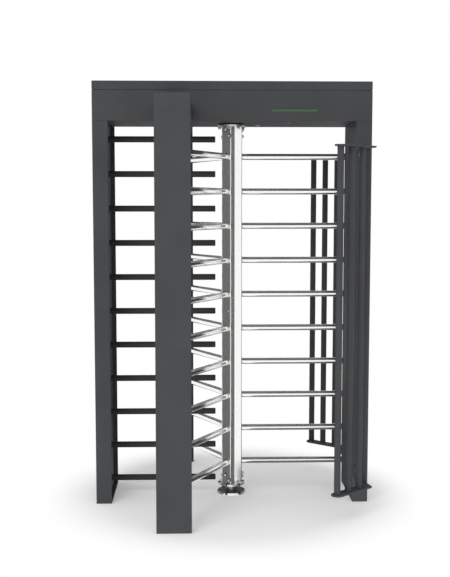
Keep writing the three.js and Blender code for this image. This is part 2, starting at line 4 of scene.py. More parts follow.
import bpy
from bpy.props import FloatProperty, FloatVectorProperty, IntProperty, PointerProperty
from mathutils import Matrix, Vector


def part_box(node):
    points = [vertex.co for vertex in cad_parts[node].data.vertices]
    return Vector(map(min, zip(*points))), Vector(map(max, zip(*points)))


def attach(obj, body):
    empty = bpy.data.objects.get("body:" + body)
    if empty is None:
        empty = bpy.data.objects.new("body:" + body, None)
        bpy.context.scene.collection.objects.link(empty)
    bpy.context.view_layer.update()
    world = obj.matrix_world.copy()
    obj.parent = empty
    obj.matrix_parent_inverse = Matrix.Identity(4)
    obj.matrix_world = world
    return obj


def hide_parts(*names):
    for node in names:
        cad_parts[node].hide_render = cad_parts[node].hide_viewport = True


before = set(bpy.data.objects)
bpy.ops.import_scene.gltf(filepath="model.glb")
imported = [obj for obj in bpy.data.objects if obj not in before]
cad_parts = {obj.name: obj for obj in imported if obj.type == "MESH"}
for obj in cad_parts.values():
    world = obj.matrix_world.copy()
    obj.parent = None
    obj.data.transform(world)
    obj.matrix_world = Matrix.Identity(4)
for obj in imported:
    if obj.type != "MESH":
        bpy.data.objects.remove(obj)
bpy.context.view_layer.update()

bl_info = {
    "name": "Full height turnstile",
    "version": (1, 0, 0),
    "blender": (4, 5, 0),
    "location": "3D View > Sidebar > Turnstile",
    "description": "Builds the turnstile's visible pieces and its stage round the packed frame",
    "category": "Add Mesh",
}

MM = 0.001
TINY = MM / 1000
RIGHT, BACK, UP = Vector((1, 0, 0)), Vector((0, 1, 0)), Vector((0, 0, 1))
WHITE = (1, 1, 1, 1)
# A wave texture of scale 1 has its waves this many metres apart.
WAVE_SPAN = 2 * math.pi / 20


def mm(*points):
    """Points written in millimetres, in metres."""
    return [tuple(part * MM for part in point) for point in points]


def linear(code):
    """The linear colour that a shader takes, from an sRGB hex value."""
    parts = [int(code[i:i + 2], 16) / 255 for i in (1, 3, 5)]
    return tuple(p / 12.92 if p <= 0.04045 else ((p + 0.055) / 1.055) ** 2.4 for p in parts)


def length(name, default, description):
    """A size in metres that the panel shows with its unit."""
    return FloatProperty(name=name, description=description, default=default, min=0, unit="LENGTH")


def count(name, default, description):
    """A number of faces or steps round a piece."""
    return IntProperty(name=name, description=description, default=default, min=24, max=256)


def level(name, default, description, unit="NONE"):
    """A value of the stage that is no length."""
    return FloatProperty(name=name, description=description, default=default, min=0, unit=unit)


def colour(name, code, description):
    """A colour that the panel shows as a swatch."""
    return FloatVectorProperty(
        name=name, description=description, subtype="COLOR", size=3, min=0, max=1, default=linear(code)
    )


class TurnstileSizes(bpy.types.PropertyGroup):
    """Sizes of the small work that the frame leaves open."""

    fold: length("Fold radius", 4 * MM, "Outer radius of the bends in the folded sheet")
    ease: length("Eased edge", 0.8 * MM, "Rounding of cut sheet edges and machined corners")
    spine_bend: length("Spine bend", 5 * MM, "Outer radius of the bends in the rotor's spines")
    spine_sheet: length("Spine sheet", 3 * MM, "Thickness of the rotor's folded spines")
    bead: length("Weld bead", 1.7 * MM, "Radius of the weld bead round a tube's root")
    tube_sides: count("Tube sides", 64, "Faces round each tube")
    turning_steps: count("Turning steps", 96, "Steps round each turned piece")
    flange_bolt: length("Flange bolt", 18 * MM, "Head diameter of the screws in the floor disc and flange")
    top_bolt: length("Top bolt", 15 * MM, "Width across the flats of the bolts under the top flange")
    spine_bolt: length("Spine bolt", 15 * MM, "Width across the flats of the domed nuts on the spines")
    guard_bolt: length("Guard bolt", 19 * MM, "Width across the flats of the bolts that hold the guards")
    plate_bolt: length("Plate bolt", 13 * MM, "Width across the flats of the bolts on the mechanism plate")
    small_screw: length("Cover screw", 9 * MM, "Head diameter of the screws in the covers")


class TurnstileFinish(bpy.types.PropertyGroup):
    """Colours of the finishes."""

    graphite: colour("Body paint", "#4A4B4D", "Powder coat on the frame")
    # The same coat, lighter: it goes on every eased edge, as wear and as a painted highlight along the edges.
    graphite_rub: colour("Body paint, rubbed", "#56575A", "The same coat where hands and trolleys rub it")
    comb: colour("Comb paint", "#3C3D3F", "Powder coat on the comb")
    steel: colour("Stainless steel", "#F9F9F8", "Polished and brushed stainless steel")
    weld: colour("Weld bead", "#D9D7D2", "Cleaned weld with a trace of heat tint")
    blackened: colour("Blackened steel", "#515451", "Oiled black oxide on bolts and plates")
    oiled: colour("Black screws", "#242527", "Oiled black oxide on cap screws")
    machined: colour("Machined steel", "#A9ABAD", "Turned and ground steel of the mechanism")
    cast: colour("Cast aluminium", "#A3A5A6", "Gearbox and bearing housing")
    lens: colour("Light lens", "#2F6B35", "Diffusing green lens of the indicator")
    plastic: colour("Control box", "#8C9092", "Moulded plastic of the control box")
    copper: colour("Copper wire", "#A85F3A", "Enamelled winding wire")
    rubber: colour("Rubber", "#17181A", "Cable glands and seals")


class TurnstileStage(bpy.types.PropertyGroup):
    """Light and floor of the stage."""

    ambient: level("Ambient", 0.62, "Light from all round on dull surfaces")
    key: level("Key lamp", 90, "Power of the soft lamp in front", "POWER")
    boards: level("Boards", 0.14, "Brightness of the grey boards that metal mirrors")
    bounce: level("Bounce", 1.25, "Light that the floor throws up on dull surfaces")
    floor_fade: length("Floor fade", 1.10, "Distance from the axis at which the floor has turned white")
    lens: level("Lens", 58.12, "Focal length of the camera", "CAMERA")


def settings():
    """The three groups of settings, as the scene holds them."""
    scene = bpy.context.scene
    return scene.turnstile_sizes, scene.turnstile_finish, scene.turnstile_stage


# Modelling helpers


def fresh():
    """Leaves edit mode with nothing selected, so the next operator acts on one object alone."""
    active = bpy.context.view_layer.objects.active
    if active and active.mode != "OBJECT":
        done_editing()
    bpy.ops.object.select_all(action="DESELECT")


def only(*pieces):
    """Selects these pieces and nothing else; the first one is active."""
    fresh()
    for piece in pieces:
        piece.select_set(True)
    bpy.context.view_layer.objects.active = pieces[0]


def settle(*pieces):
    """Writes each piece's place, turn and scale into its mesh."""
    only(*pieces)
    bpy.ops.object.transform_apply(location=True, rotation=True, scale=True)
    return pieces[0]


def started(name):
    """Names the primitive just added and settles it."""
    piece = bpy.context.object
    piece.name = name
    piece.data.name = name
    return settle(piece)


def start_editing():
    """Goes into edit mode on the active piece."""
    bpy.ops.object.mode_set(mode="EDIT")


def done_editing():
    """Back to object mode."""
    bpy.ops.object.mode_set(mode="OBJECT")


def unpicked(piece, kind):
    """The piece's mesh with nothing selected, to be picked by face or by edge."""
    only(piece)
    start_editing()
    bpy.ops.mesh.select_mode(type=kind)
    bpy.ops.mesh.select_all(action="DESELECT")
    done_editing()
    return piece.data


def pick_faces(piece, test):
    """Goes into edit mode with only the faces selected whose centre and normal pass the test."""
    for face in unpicked(piece, "FACE").polygons:
        face.select = bool(test(face.center, face.normal))
    start_editing()


def pick_edges(piece, test):
    """Goes into edit mode with only the edges selected whose two ends pass the test."""
    mesh = unpicked(piece, "EDGE")
    for edge in mesh.edges:
        edge.select = bool(test(*(mesh.vertices[i].co for i in edge.vertices)))
    start_editing()


def apply_modifier(piece, kind, **values):
    """Adds one modifier with its values and applies it."""
    only(piece)
    modifier = piece.modifiers.new(kind.title(), kind)
    for name, value in values.items():
        setattr(modifier, name, value)
    bpy.ops.object.modifier_apply(modifier=modifier.name)


def eased(piece, width, material=-1, angle=40):
    """Rounds the sharp edges by width and keeps the flat faces flat under smooth shading."""
    apply_modifier(
        piece, "BEVEL", width=width, segments=2, limit_method="ANGLE",
        angle_limit=math.radians(angle), use_clamp_overlap=False, material=material,
    )
    bpy.ops.object.shade_smooth()
    apply_modifier(piece, "WEIGHTED_NORMAL", mode="FACE_AREA", weight=90)
    return piece


def smoothed(angle=50):
    """Shades the active piece smooth, apart from edges sharper than the angle in degrees."""
    bpy.ops.object.shade_smooth_by_angle(angle=math.radians(angle))


def paint(piece, *finishes):
    """Gives a piece its finishes in order."""
    piece.data.materials.clear()
    for name in finishes:
        piece.data.materials.append(finish(name))
    return piece


def place(piece, body, slot, *nodes):
    """Rides the piece on its body and stands it in for its nodes; its slot is not used."""
    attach(piece, body)
    # The polished arms mirror the studio, and neither the front post nor the guards.
    piece.visible_glossy = not any(part in piece.name for part in ("front_post", "guard"))
    if nodes:
        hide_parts(*nodes)
    return piece


def gathered(name, *pieces):
    """Joins pieces into one."""
    only(*pieces)
    if len(pieces) > 1:
        bpy.ops.object.join()
    pieces[0].name = name
    pieces[0].data.name = name
    return pieces[0]


def copies(template, name, places, keep=False):
    """Copies a template to each place, every copy with its own mesh, and joins them into one piece."""
    made = []
    for where in places:
        copy = template.copy()
        copy.data = template.data.copy()
        bpy.context.scene.collection.objects.link(copy)
        copy.matrix_world = where
        made.append(copy)
    settle(*made)
    if not keep:
        bpy.data.objects.remove(template)
    return gathered(name, *made)


def fitted(template, name, places, body, slot, *finishes):
    """A finished piece of its own: the template at each place, painted where it has no finish yet."""
    piece = copies(template, name, places)
    if finishes:
        paint(piece, *finishes)
    return place(piece, body, slot)


def aimed(place_at, direction, spin=0.0):
    """The matrix that stands a template, modelled along +Z, at a place and along a direction."""
    turn = Vector(direction).to_track_quat("Z", "Y").to_matrix().to_4x4()
    return Matrix.Translation(Vector(place_at)) @ turn @ Matrix.Rotation(spin, 4, "Z")


def shifted(x, y, z):
    """The matrix that moves a template without turning it."""
    return Matrix.Translation((x, y, z))


def on_circle(radius, angle, z=0.0):
    """A point on a circle round the rotor's axis."""
    return Vector((radius * math.cos(angle), radius * math.sin(angle), z))


def near(a, b):
    """Whether two coordinates are the same."""
    return abs(a - b) < TINY


def copy_of(node, name):
    """A welded copy of a frame node, with its flat faces made whole."""
    piece = bpy.data.objects.new(name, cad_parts[node].data.copy())
    bpy.context.scene.collection.objects.link(piece)
    only(piece)
    bpy.ops.mesh.customdata_custom_splitnormals_clear()
    start_editing()
    bpy.ops.mesh.select_all(action="SELECT")
    bpy.ops.mesh.remove_doubles(threshold=2 * TINY)
    bpy.ops.mesh.dissolve_limited(angle_limit=math.radians(1))
    done_editing()
    for face in piece.data.polygons:
        face.material_index = 0
    return piece


def folded(piece, axes):
    """Rounds the outer box edges that run along the given axes, as a press brake leaves them."""
    points = [v.co for v in piece.data.vertices]
    low = [min(p[i] for p in points) for i in range(3)]
    high = [max(p[i] for p in points) for i in range(3)]

    def outer(a, b, i):
        return any(abs(a[i] - end) < MM / 10 and abs(b[i] - end) < MM / 10 for end in (low[i], high[i]))

    def is_fold(a, b):
        run = "xyz"[max(range(3), key=lambda i: abs(a[i] - b[i]))]
        return run in axes and all(outer(a, b, i) for i in range(3) if "xyz"[i] != run)

    pick_edges(piece, is_fold)
    bpy.ops.mesh.bevel(offset=settings()[0].fold, segments=4, affect="EDGES", clamp_overlap=False)
    done_editing()
    return piece


def rod(name, radius, start, end, sides=None, ease=1.5 * MM, domed=False):
    """A round bar between two points, with its rims rounded and, on request, its far face domed."""
    start, end = Vector(start), Vector(end)
    run = end - start
    fresh()
    bpy.ops.mesh.primitive_cylinder_add(
        vertices=sides or settings()[0].tube_sides, radius=radius, depth=run.length,
        location=(start + end) / 2, rotation=run.to_track_quat("Z", "Y").to_euler(),
    )
    piece = started(name)
    way = run.normalized()
    pick_faces(piece, lambda centre, normal: abs(normal.dot(way)) > 0.9)
    bpy.ops.mesh.bevel(offset=ease, segments=3, affect="EDGES")
    if domed:
        pick_faces(
            piece, lambda centre, normal: normal.dot(way) > 0.99 and (centre - end).length < radius / 2
        )
        for rise in (0.4 * MM, 0.2 * MM):
            bpy.ops.mesh.inset(thickness=radius * 0.3)
            bpy.ops.transform.translate(value=way * rise)
    done_editing()
    return piece


def slab(name, low, high):
    """A box between two corners."""
    low, high = Vector(low), Vector(high)
    fresh()
    bpy.ops.mesh.primitive_cube_add(size=1, location=(low + high) / 2)
    bpy.context.object.scale = high - low
    return started(name)


def board(name, low, high):
    """A flat board on the studio's floor between two corners."""
    fresh()
    bpy.ops.mesh.primitive_plane_add(
        size=1, location=((low[0] + high[0]) / 2, (low[1] + high[1]) / 2, BOARD_RISE),
    )
    bpy.context.object.scale = (high[0] - low[0], high[1] - low[1], 1)
    return started(name)


def sunk_panel(piece, test, margin, depth):
    """Sinks a panel, with a rim round it, into the faces that pass the test; it takes material 1."""
    pick_faces(piece, test)
    bpy.ops.mesh.inset(thickness=margin)
    bpy.ops.mesh.inset(thickness=depth * 0.3, depth=-depth)
    done_editing()
    for face in piece.data.polygons:
        if face.select:
            face.material_index = 1


def lathe(name, outline, steps=None, ease=None):
    """Draws a closed section from radii and heights and spins it round Z."""
    sizes = settings()[0]
    steps = steps or sizes.turning_steps
    ease = sizes.ease if ease is None else ease
    radius, height = outline[0]
    fresh()
    bpy.ops.mesh.primitive_plane_add(size=MM, location=(radius, 0, height))
    piece = started(name)
    start_editing()
    bpy.ops.mesh.select_mode(type="VERT")
    bpy.ops.mesh.select_all(action="SELECT")
    bpy.ops.mesh.merge(type="CENTER")
    for (r0, z0), (r1, z1) in zip(outline, [*outline[1:], outline[0]]):
        bpy.ops.mesh.extrude_vertices_move(TRANSFORM_OT_translate={"value": (r1 - r0, 0, z1 - z0)})
    bpy.ops.mesh.select_all(action="SELECT")
    bpy.ops.mesh.remove_doubles(threshold=TINY)
    bpy.ops.mesh.spin(steps=steps, angle=2 * math.pi, center=(0, 0, 0), axis=(0, 0, 1))
    bpy.ops.mesh.select_all(action="SELECT")
    bpy.ops.mesh.remove_doubles(threshold=2 * TINY)
    bpy.ops.mesh.normals_make_consistent(inside=False)
    done_editing()
    if ease:
        eased(piece, ease)
    return piece


def bead_ring(name, tube):
    """A weld bead round a tube of this radius: a ring with a ripple that stands up at every fourth step."""
    sides, thick = 48, settings()[0].bead
    fresh()
    bpy.ops.mesh.primitive_torus_add(
        major_segments=sides, minor_segments=10, major_radius=tube + 0.4 * MM, minor_radius=thick,
    )
    piece = started(name)
    step = 2 * math.pi / sides
    pick_faces(piece, lambda centre, normal: round(math.atan2(centre.y, centre.x) / step - 0.5) % 4 == 0)
    bpy.ops.mesh.select_mode(type="VERT")
    bpy.ops.transform.shrink_fatten(value=thick * 0.22)
    done_editing()
    bpy.ops.object.shade_smooth()
    return piece


def coil_spring(name, radius, wire, turns, pitch):
    """A wound spring about Z, with both ends of its wire closed."""
    fresh()
    bpy.ops.mesh.primitive_circle_add(
        vertices=10, radius=wire / 2, location=(radius, 0, wire / 2), rotation=(math.pi / 2, 0, 0),
    )
    spring = started(name)
    steps = 24
    apply_modifier(
        spring, "SCREW", steps=steps, render_steps=steps, iterations=turns, screw_offset=pitch, axis="Z"
    )
    start_editing()
    bpy.ops.mesh.select_all(action="SELECT")
    bpy.ops.mesh.fill_holes(sides=12)
    bpy.ops.mesh.select_all(action="SELECT")
    bpy.ops.mesh.normals_make_consistent(inside=False)
    done_editing()
    smoothed()
    return spring


def hex_bolt(name, across, washer=True, height=0.62):
    """A hexagon head on its washer, along +Z from the face that it clamps."""
    thin = across * 0.13 if washer else 0.0
    tall = across * height
    fresh()
    bpy.ops.mesh.primitive_cylinder_add(
        vertices=6, radius=across / math.sqrt(3), depth=tall, location=(0, 0, thin + tall / 2),
    )
    head = started(name)
    pick_faces(head, lambda centre, normal: normal.z > 0.9)
    bpy.ops.mesh.inset(thickness=across * 0.06)
    bpy.ops.transform.translate(value=(0, 0, across * 0.05))
    done_editing()
    eased(head, across * 0.03)
    paint(head, "turned_stainless")
    if not washer:
        return head
    # The washer is black oxide. Its darkness round the head also stands in as a painted contact shadow.
    bore, rim = across * 0.3, across * 0.82
    ring = lathe("washer", [(bore, 0), (rim, 0), (rim, thin), (bore, thin)], 40, across * 0.02)
    return gathered(name, head, paint(ring, "black_oxide_steel"))


def dome_nut(name, across):
    """A hexagon nut with a domed cap on a dark washer, along +Z from the face that it clamps; the washer's
    darkness is partly a painted contact shadow.
    """
    nut = hex_bolt("nut", across, height=0.4)
    low, radius = across * 0.42, across * 0.5
    turns = [i * math.pi / 12 for i in range(6)]
    arc = [(radius * math.cos(turn), low + radius * 0.9 * math.sin(turn)) for turn in turns]
    foot = low - radius * 0.3
    dome = lathe("dome", [(0, foot), (radius, foot), *arc, (0, low + radius * 0.9)], 32, 0)
    smoothed(40)
    return gathered(name, nut, paint(dome, "turned_stainless"))


def cable_gland(name, across):
    """A hexagon nut with a domed seal nut and a stub of cable, along +Z from the wall."""
    nut = paint(hex_bolt("nut", across, washer=False), "black_rubber")
    outline = [(0, 0.6), (0.46, 0.6), (0.46, 0.9), (0.34, 1.15), (0.2, 1.15), (0.2, 1.7), (0, 1.7)]
    dome = lathe("dome", [(across * r, across * z) for r, z in outline], 32, across * 0.03)
    return gathered(name, nut, paint(dome, "black_rubber"))


def socketed(head, across, rim, depth):
    """Sinks the key's socket into the middle of a screw's head."""
    pick_faces(head, lambda centre, normal: normal.z > 0.999 and centre.xy.length < across / 4)
    bpy.ops.mesh.inset(thickness=across * rim)
    bpy.ops.mesh.inset(thickness=across * 0.02)
    bpy.ops.transform.translate(value=(0, 0, -depth))
    done_editing()
    smoothed(45)
    return head


def cap_screw(name, across, tall):
    """A cylindrical head with a sunk socket, along +Z from its seat."""
    head = rod(name, across / 2, (0, 0, 0), (0, 0, tall), 40, across * 0.05)
    return socketed(head, across, 0.2, tall * 0.4)


def button_screw(name, across):
    """A domed head with a sunk recess, along +Z from the face that it clamps."""
    fresh()
    bpy.ops.mesh.primitive_cylinder_add(
        vertices=36, radius=across / 2, depth=across * 0.3, location=(0, 0, across * 0.15),
    )
    head = started(name)
    pick_faces(head, lambda centre, normal: normal.z > 0.9)
    bpy.ops.mesh.bevel(offset=across * 0.16, segments=4, affect="EDGES")
    done_editing()
    return socketed(head, across, 0.09, across * 0.14)


# Materials


def add_node(tree, kind, inputs=None, output=0, **values):
    """Adds one node, sets its values, sets or links its inputs, and returns the output asked for, if any."""
    node = tree.nodes.new(kind)
    for name, value in values.items():
        setattr(node, name, value)
    for name, value in (inputs or {}).items():
        if isinstance(value, bpy.types.NodeSocket):
            tree.links.new(value, node.inputs[name])
        else:
            node.inputs[name].default_value = value
    return node.outputs[output] if node.outputs else None


def bare_material(name):
    """A new material with an empty tree."""
    material = bpy.data.materials.new(name)
    material.use_nodes = True
    material.node_tree.nodes.clear()
    return material, material.node_tree


def grain(tree, source, scale, stretch=(1, 1, 1), detail=3.0):
    """Noise whose lumps are 1/scale metres across, stretched along the axes; returns its value."""
    spot = add_node(tree, "ShaderNodeTexCoord", output=source)
    spot = add_node(tree, "ShaderNodeMapping", {"Vector": spot, "Scale": stretch})
    return add_node(tree, "ShaderNodeTexNoise", {"Vector": spot, "Scale": scale, "Detail": detail}, "Fac")


def scaled(shade, share):
    """A lighter or darker shade of the same colour."""
    return tuple(min(1.0, part * share) for part in shade)


def follow(tree, pattern, low, high, start=0.3, stop=0.7):
    """A number or a colour that goes from low to high over the middle of a pattern."""
    coloured = isinstance(low, tuple)
    least, most = (0, 1) if coloured else (low, high)
    value = add_node(tree, "ShaderNodeMapRange", {
        "Value": pattern, "From Min": start, "From Max": stop, "To Min": least, "To Max": most,
    })
    if not coloured:
        return value
    # A Mix node of colours takes them at inputs 6 and 7, and gives the mixed one at output 2.
    return add_node(tree, "ShaderNodeMix", {0: value, 6: (*low, 1), 7: (*high, 1)}, 2, data_type="RGBA")


def surface(tree, tint, roughness, relief=None, **sockets):
    """Adds the surface with its colour and roughness, and a relief from a height, a strength and a depth."""
    inputs = {name.replace("_", " "): value for name, value in sockets.items()}
    if relief:
        raised = dict(zip(("Height", "Strength", "Distance"), relief))
        inputs["Normal"] = add_node(tree, "ShaderNodeBump", raised)
    inputs.update({"Base Color": tint, "Roughness": roughness})
    shader = add_node(tree, "ShaderNodeBsdfPrincipled", inputs)
    add_node(tree, "ShaderNodeOutputMaterial", {"Surface": shader})


def powder_coat(name, shade, rough):
    """Polyester powder baked on steel sheet: a satin coat with a soft sheen and no clear mirror image."""
    material, tree = bare_material(name)
    # Slow drifts in the coat's depth, about 250 mm across, and rub marks of about 20 mm.
    drift = grain(tree, "Object", 4, detail=2)
    marks = grain(tree, "Object", 50, stretch=(1, 1, 0.25), detail=4)
    # Orange peel has lumps of about 1.5 mm; they are drawn 4 mm across so that they show.
    peel = grain(tree, "Object", 250, detail=2)
    tint = follow(tree, drift, scaled(shade, 0.93), scaled(shade, 1.08))
    roughness = follow(tree, marks, rough - 0.06, rough + 0.06)
    surface(tree, tint, roughness, (peel, 0.12, 0.3 * MM), IOR=1.45, Specular_IOR_Level=0.03)
    return material


def polished_tube(name, shade):
    """Stainless tube polished on a centreless belt: bright, with faint rings round the tube."""
    material, tree = bare_material(name)
    # The belt's rings are about 0.3 mm apart; they are drawn 3 mm apart so that they show.
    rings = grain(tree, "UV", 1, stretch=(2, 380, 1), detail=2)
    smears = grain(tree, "UV", 1, stretch=(4, 9, 1), detail=3)
    tint = follow(tree, rings, scaled(shade, 0.95), scaled(shade, 1.03))
    surface(tree, tint, follow(tree, smears, 0.1, 0.16), (rings, 0.01, 0.1 * MM), Metallic=1.0)
    return material


def brushed_sheet(name, shade):
    """Stainless sheet with a brushed finish along its length: streaks up and down, soft reflections."""
    material, tree = bare_material(name)
    # Grit 240 leaves lines under 0.1 mm apart; they are drawn 1.5 mm apart and 60 mm long.
    lines = grain(tree, "Object", 1, stretch=(660, 660, 16), detail=3)
    tint = follow(tree, lines, scaled(shade, 0.94), scaled(shade, 1.02))
    surface(tree, tint, follow(tree, lines, 0.15, 0.23), (lines, 0.02, 0.1 * MM), Metallic=1.0)
    return material


def turned_steel(name, shade, rough):
    """Steel turned on a lathe: fine rings round the axis that spread the light into a fan."""
    material, tree = bare_material(name)
    # The tool leaves rings 0.2 mm apart; they are drawn 1.5 mm apart. Stains are about 25 mm across.
    rings = add_node(tree, "ShaderNodeTexWave", {
        "Vector": add_node(tree, "ShaderNodeTexCoord", output="Object"),
        "Scale": 210, "Distortion": 0.4, "Detail": 1,
    }, "Fac", wave_type="RINGS", rings_direction="Z")
    stain = grain(tree, "Object", 40, detail=4)
    tint = follow(tree, stain, scaled(shade, 0.86), scaled(shade, 1.04))
    roughness = follow(tree, rings, rough - 0.05, rough + 0.07, 0, 1)
    surface(tree, tint, roughness, (rings, 0.06, 0.1 * MM), Metallic=1.0)
    return material


def ground_steel(name, shade, rough, light=1.1, scale=160, bare=1.0):
    """Metal with a short random grain, lighter where it was handled; an oxide skin leaves less of it bare."""
    material, tree = bare_material(name)
    # Handling marks are 6 mm across, and the lumps of a casting 17 mm. The grain is under 0.2 mm and is drawn
    # 1 mm across so that it shows.
    marks = grain(tree, "Object", scale, detail=5)
    grit = grain(tree, "Object", 900, detail=2)
    tint = follow(tree, marks, scaled(shade, 0.85), scaled(shade, light))
    roughness = follow(tree, marks, rough - 0.08, rough + 0.1)
    surface(tree, tint, roughness, (grit, 0.08, 0.1 * MM), Metallic=bare)
    return material


def weld_metal(name, shade):
    """Pickled weld bead: scaly ripples and a trace of straw heat tint."""
    material, tree = bare_material(name)
    # The heat tint changes over about 8 mm, and the bead's scale over 1.5 mm.
    heat = grain(tree, "Object", 120, detail=3)
    scale = grain(tree, "Object", 700, detail=2)
    tint = follow(tree, heat, scaled(shade, 0.8), scaled(shade, 1.1))
    surface(tree, tint, follow(tree, heat, 0.28, 0.45), (scale, 0.3, 0.2 * MM), Metallic=1.0)
    return material


def moulded(name, shade, rough):
    """Moulded plastic or rubber with a fine spark-eroded texture: matt, with an even grain."""
    material, tree = bare_material(name)
    # Flow marks are about 40 mm across. The texture's grains are 0.2 mm, and are drawn 2 mm across to show.
    drift = grain(tree, "Object", 25, detail=3)
    texture = grain(tree, "Object", 500, detail=2)
    tint = follow(tree, drift, scaled(shade, 0.94), scaled(shade, 1.06))
    roughness = follow(tree, drift, rough - 0.05, rough + 0.05)
    surface(tree, tint, roughness, (texture, 0.2, 0.1 * MM), IOR=1.5, Specular_IOR_Level=0.4)
    return material


def lit_lens(name, shade):
    """Diffusing polycarbonate over a row of diodes: dim green, with a soft brighter spot at each diode."""
    material, tree = bare_material(name)
    # The diodes are 12 mm apart.
    spots = add_node(tree, "ShaderNodeTexWave", {
        "Vector": add_node(tree, "ShaderNodeTexCoord", output="Object"),
        "Scale": WAVE_SPAN / (12 * MM), "Distortion": 0.6,
    }, "Fac", bands_direction="X")
    glow = follow(tree, spots, scaled(shade, 0.35), scaled(shade, 1.3), 0.2, 0.9)
    roughness = follow(tree, grain(tree, "Object", 300), 0.2, 0.35)
    body = (*scaled(shade, 0.5), 1)
    surface(tree, body, roughness, IOR=1.58, Emission_Strength=0.36, Emission_Color=glow)
    return material


def winding(name, shade):
    """Enamelled copper wire laid turn by turn: glossy bands round the coil, and painted shade between the
    turns.
    """
    material, tree = bare_material(name)
    # Wire of 0.5 mm is drawn 2 mm thick.
    turns = add_node(tree, "ShaderNodeTexWave", {
        "Vector": add_node(tree, "ShaderNodeTexCoord", output="Object"),
        "Scale": WAVE_SPAN / (2 * MM), "Distortion": 0.2,
    }, "Fac", bands_direction="Z")
    # Each turn darkens to half its shade towards the next: painted shade in the grooves between the turns.
    shades = {6: (*scaled(shade, 0.5), 1), 7: (*shade, 1)}
    tint = add_node(tree, "ShaderNodeMix", {0: turns, **shades}, 2, data_type="RGBA")
    roughness = follow(tree, turns, 0.45, 0.3, 0, 1)
    coat = {"Coat_Weight": 0.5, "Coat_Roughness": 0.2}
    surface(tree, tint, roughness, (turns, 0.5, 0.3 * MM), Metallic=0.6, **coat)
    return material


# For each finish its maker, the setting that holds its colour, and the maker's other values.
FINISHES = {
    "graphite_powder_coat": (powder_coat, "graphite", 0.5),
    # The lighter coat on eased edges is wear and a painted edge highlight.
    "graphite_powder_coat_rubbed": (powder_coat, "graphite_rub", 0.42),
    "comb_powder_coat": (powder_coat, "comb", 0.42),
    "polished_stainless_tube": (polished_tube, "steel"),
    "brushed_stainless_sheet": (brushed_sheet, "steel"),
    "turned_stainless": (turned_steel, "steel", 0.36),
    "weld_bead": (weld_metal, "weld"),
    "black_oxide_steel": (ground_steel, "blackened", 0.48, 1.25, 160, 0.3),
    "oiled_black_screw": (ground_steel, "oiled", 0.5, 1.1, 160, 0.2),
    "ground_machine_steel": (ground_steel, "machined", 0.3),
    "turned_machine_steel": (turned_steel, "machined", 0.26),
    "sand_cast_aluminium": (ground_steel, "cast", 0.5, 1.1, 60),
    "green_diffusing_lens": (lit_lens, "lens"),
    "moulded_grey_plastic": (moulded, "plastic", 0.5),
    "black_rubber": (moulded, "rubber", 0.65),
    "copper_winding": (winding, "copper"),
}


def finish(name):
    """The named material, made when it is first asked for."""
    maker, setting, *values = FINISHES[name]
    return bpy.data.materials.get(name) or maker(name, getattr(settings()[1], setting), *values)


def refinish(node, name):
    """Gives a frame node that keeps its own shape a better finish."""
    paint(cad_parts[node], name)


# Pieces

# From the rotor's axis to the web of each wing's spine.
SPINE_REACH = 59 * MM


def sheet_piece(node, axes="", body="frame"):
    """A folded sheet piece: rounded folds along the axes, cut edges eased and painted lighter, as wear and as
    a painted edge highlight.
    """
    piece = folded(copy_of(node, node + "_sheet"), axes)
    paint(piece, "graphite_powder_coat", "graphite_powder_coat_rubbed")
    # Eased edges take the lighter coat: wear, and a painted highlight along every edge.
    eased(piece, settings()[0].ease, 1, angle=50)
    return place(piece, body, "graphite_paint", node)


class TURNSTILE_OT_sheet_metal(bpy.types.Operator):
    """Dress the header, posts, arms and covers as folded and painted sheet"""

    bl_idname = "turnstile.sheet_metal"
    bl_label = "Sheet metal"

    def execute(self, context):
        sizes = settings()[0]
        for node, axes in {
            "header_casing": "xz", "header_lid": "xyz", "left_post": "z", "right_post": "z",
            "front_post": "z", "rear_post": "z", "front_arm": "yz", "rear_arm": "yz",
        }.items():
            sheet_piece(node, axes)
        cover = sheet_piece("right_post_cover")
        carrier = sheet_piece("comb_carrier")

        # The carrier's long edges are returned as far as the post's lips.
        low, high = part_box("comb_carrier")
        sheet, half, play = 3 * MM, 184.5 * MM, 0.4 * MM
        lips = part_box("left_post")[1].x - sheet - play
        for edge in (-half, half - sheet):
            lip = slab("lip", (high.x - MM / 4, edge, low.z), (lips, edge + sheet, high.z))
            eased(lip, sizes.ease / 2)
            gathered(carrier.name, carrier, paint(lip, "graphite_powder_coat"))

        # The cover's screws sit in pockets, so that the next unit can stand flush against it.
        low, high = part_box("right_post_cover")
        inset, deep, play, rows = 20 * MM, 2.2 * MM, 0.1 * MM, 4
        run = high.z - low.z - 2 * inset
        spots = [
            Vector((high.x, y, low.z + inset + run * i / (rows - 1)))
            for y in (low.y + inset, high.y - inset) for i in range(rows)
        ]
        cutter = rod("cutter", sizes.small_screw * 0.58, (0, 0, -deep), (0, 0, deep), 32, 0.1 * MM)
        cutters = copies(cutter, "cutters", [aimed(spot, RIGHT) for spot in spots])
        apply_modifier(cover, "BOOLEAN", operation="DIFFERENCE", object=cutters, solver="EXACT")
        bpy.data.objects.remove(cutters)
        screw = cap_screw("screw", sizes.small_screw, deep - 3 * play)
        seats = [aimed(spot - RIGHT * (deep - play), RIGHT) for spot in spots]
        fitted(screw, "cover_screws", seats, "frame", "blackened_steel", "black_oxide_steel")

        low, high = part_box("header_lid")
        columns, rise = 6, low.z + 24 * MM
        pitch = (high.x - low.x) / columns
        seats = [aimed((low.x + pitch * (i + 0.5), high.y, rise), BACK) for i in range(columns)]
        screw = button_screw("screw", sizes.small_screw)
        fitted(screw, "lid_screws", seats, "frame", "blackened_steel", "black_oxide_steel")
        return {"FINISHED"}


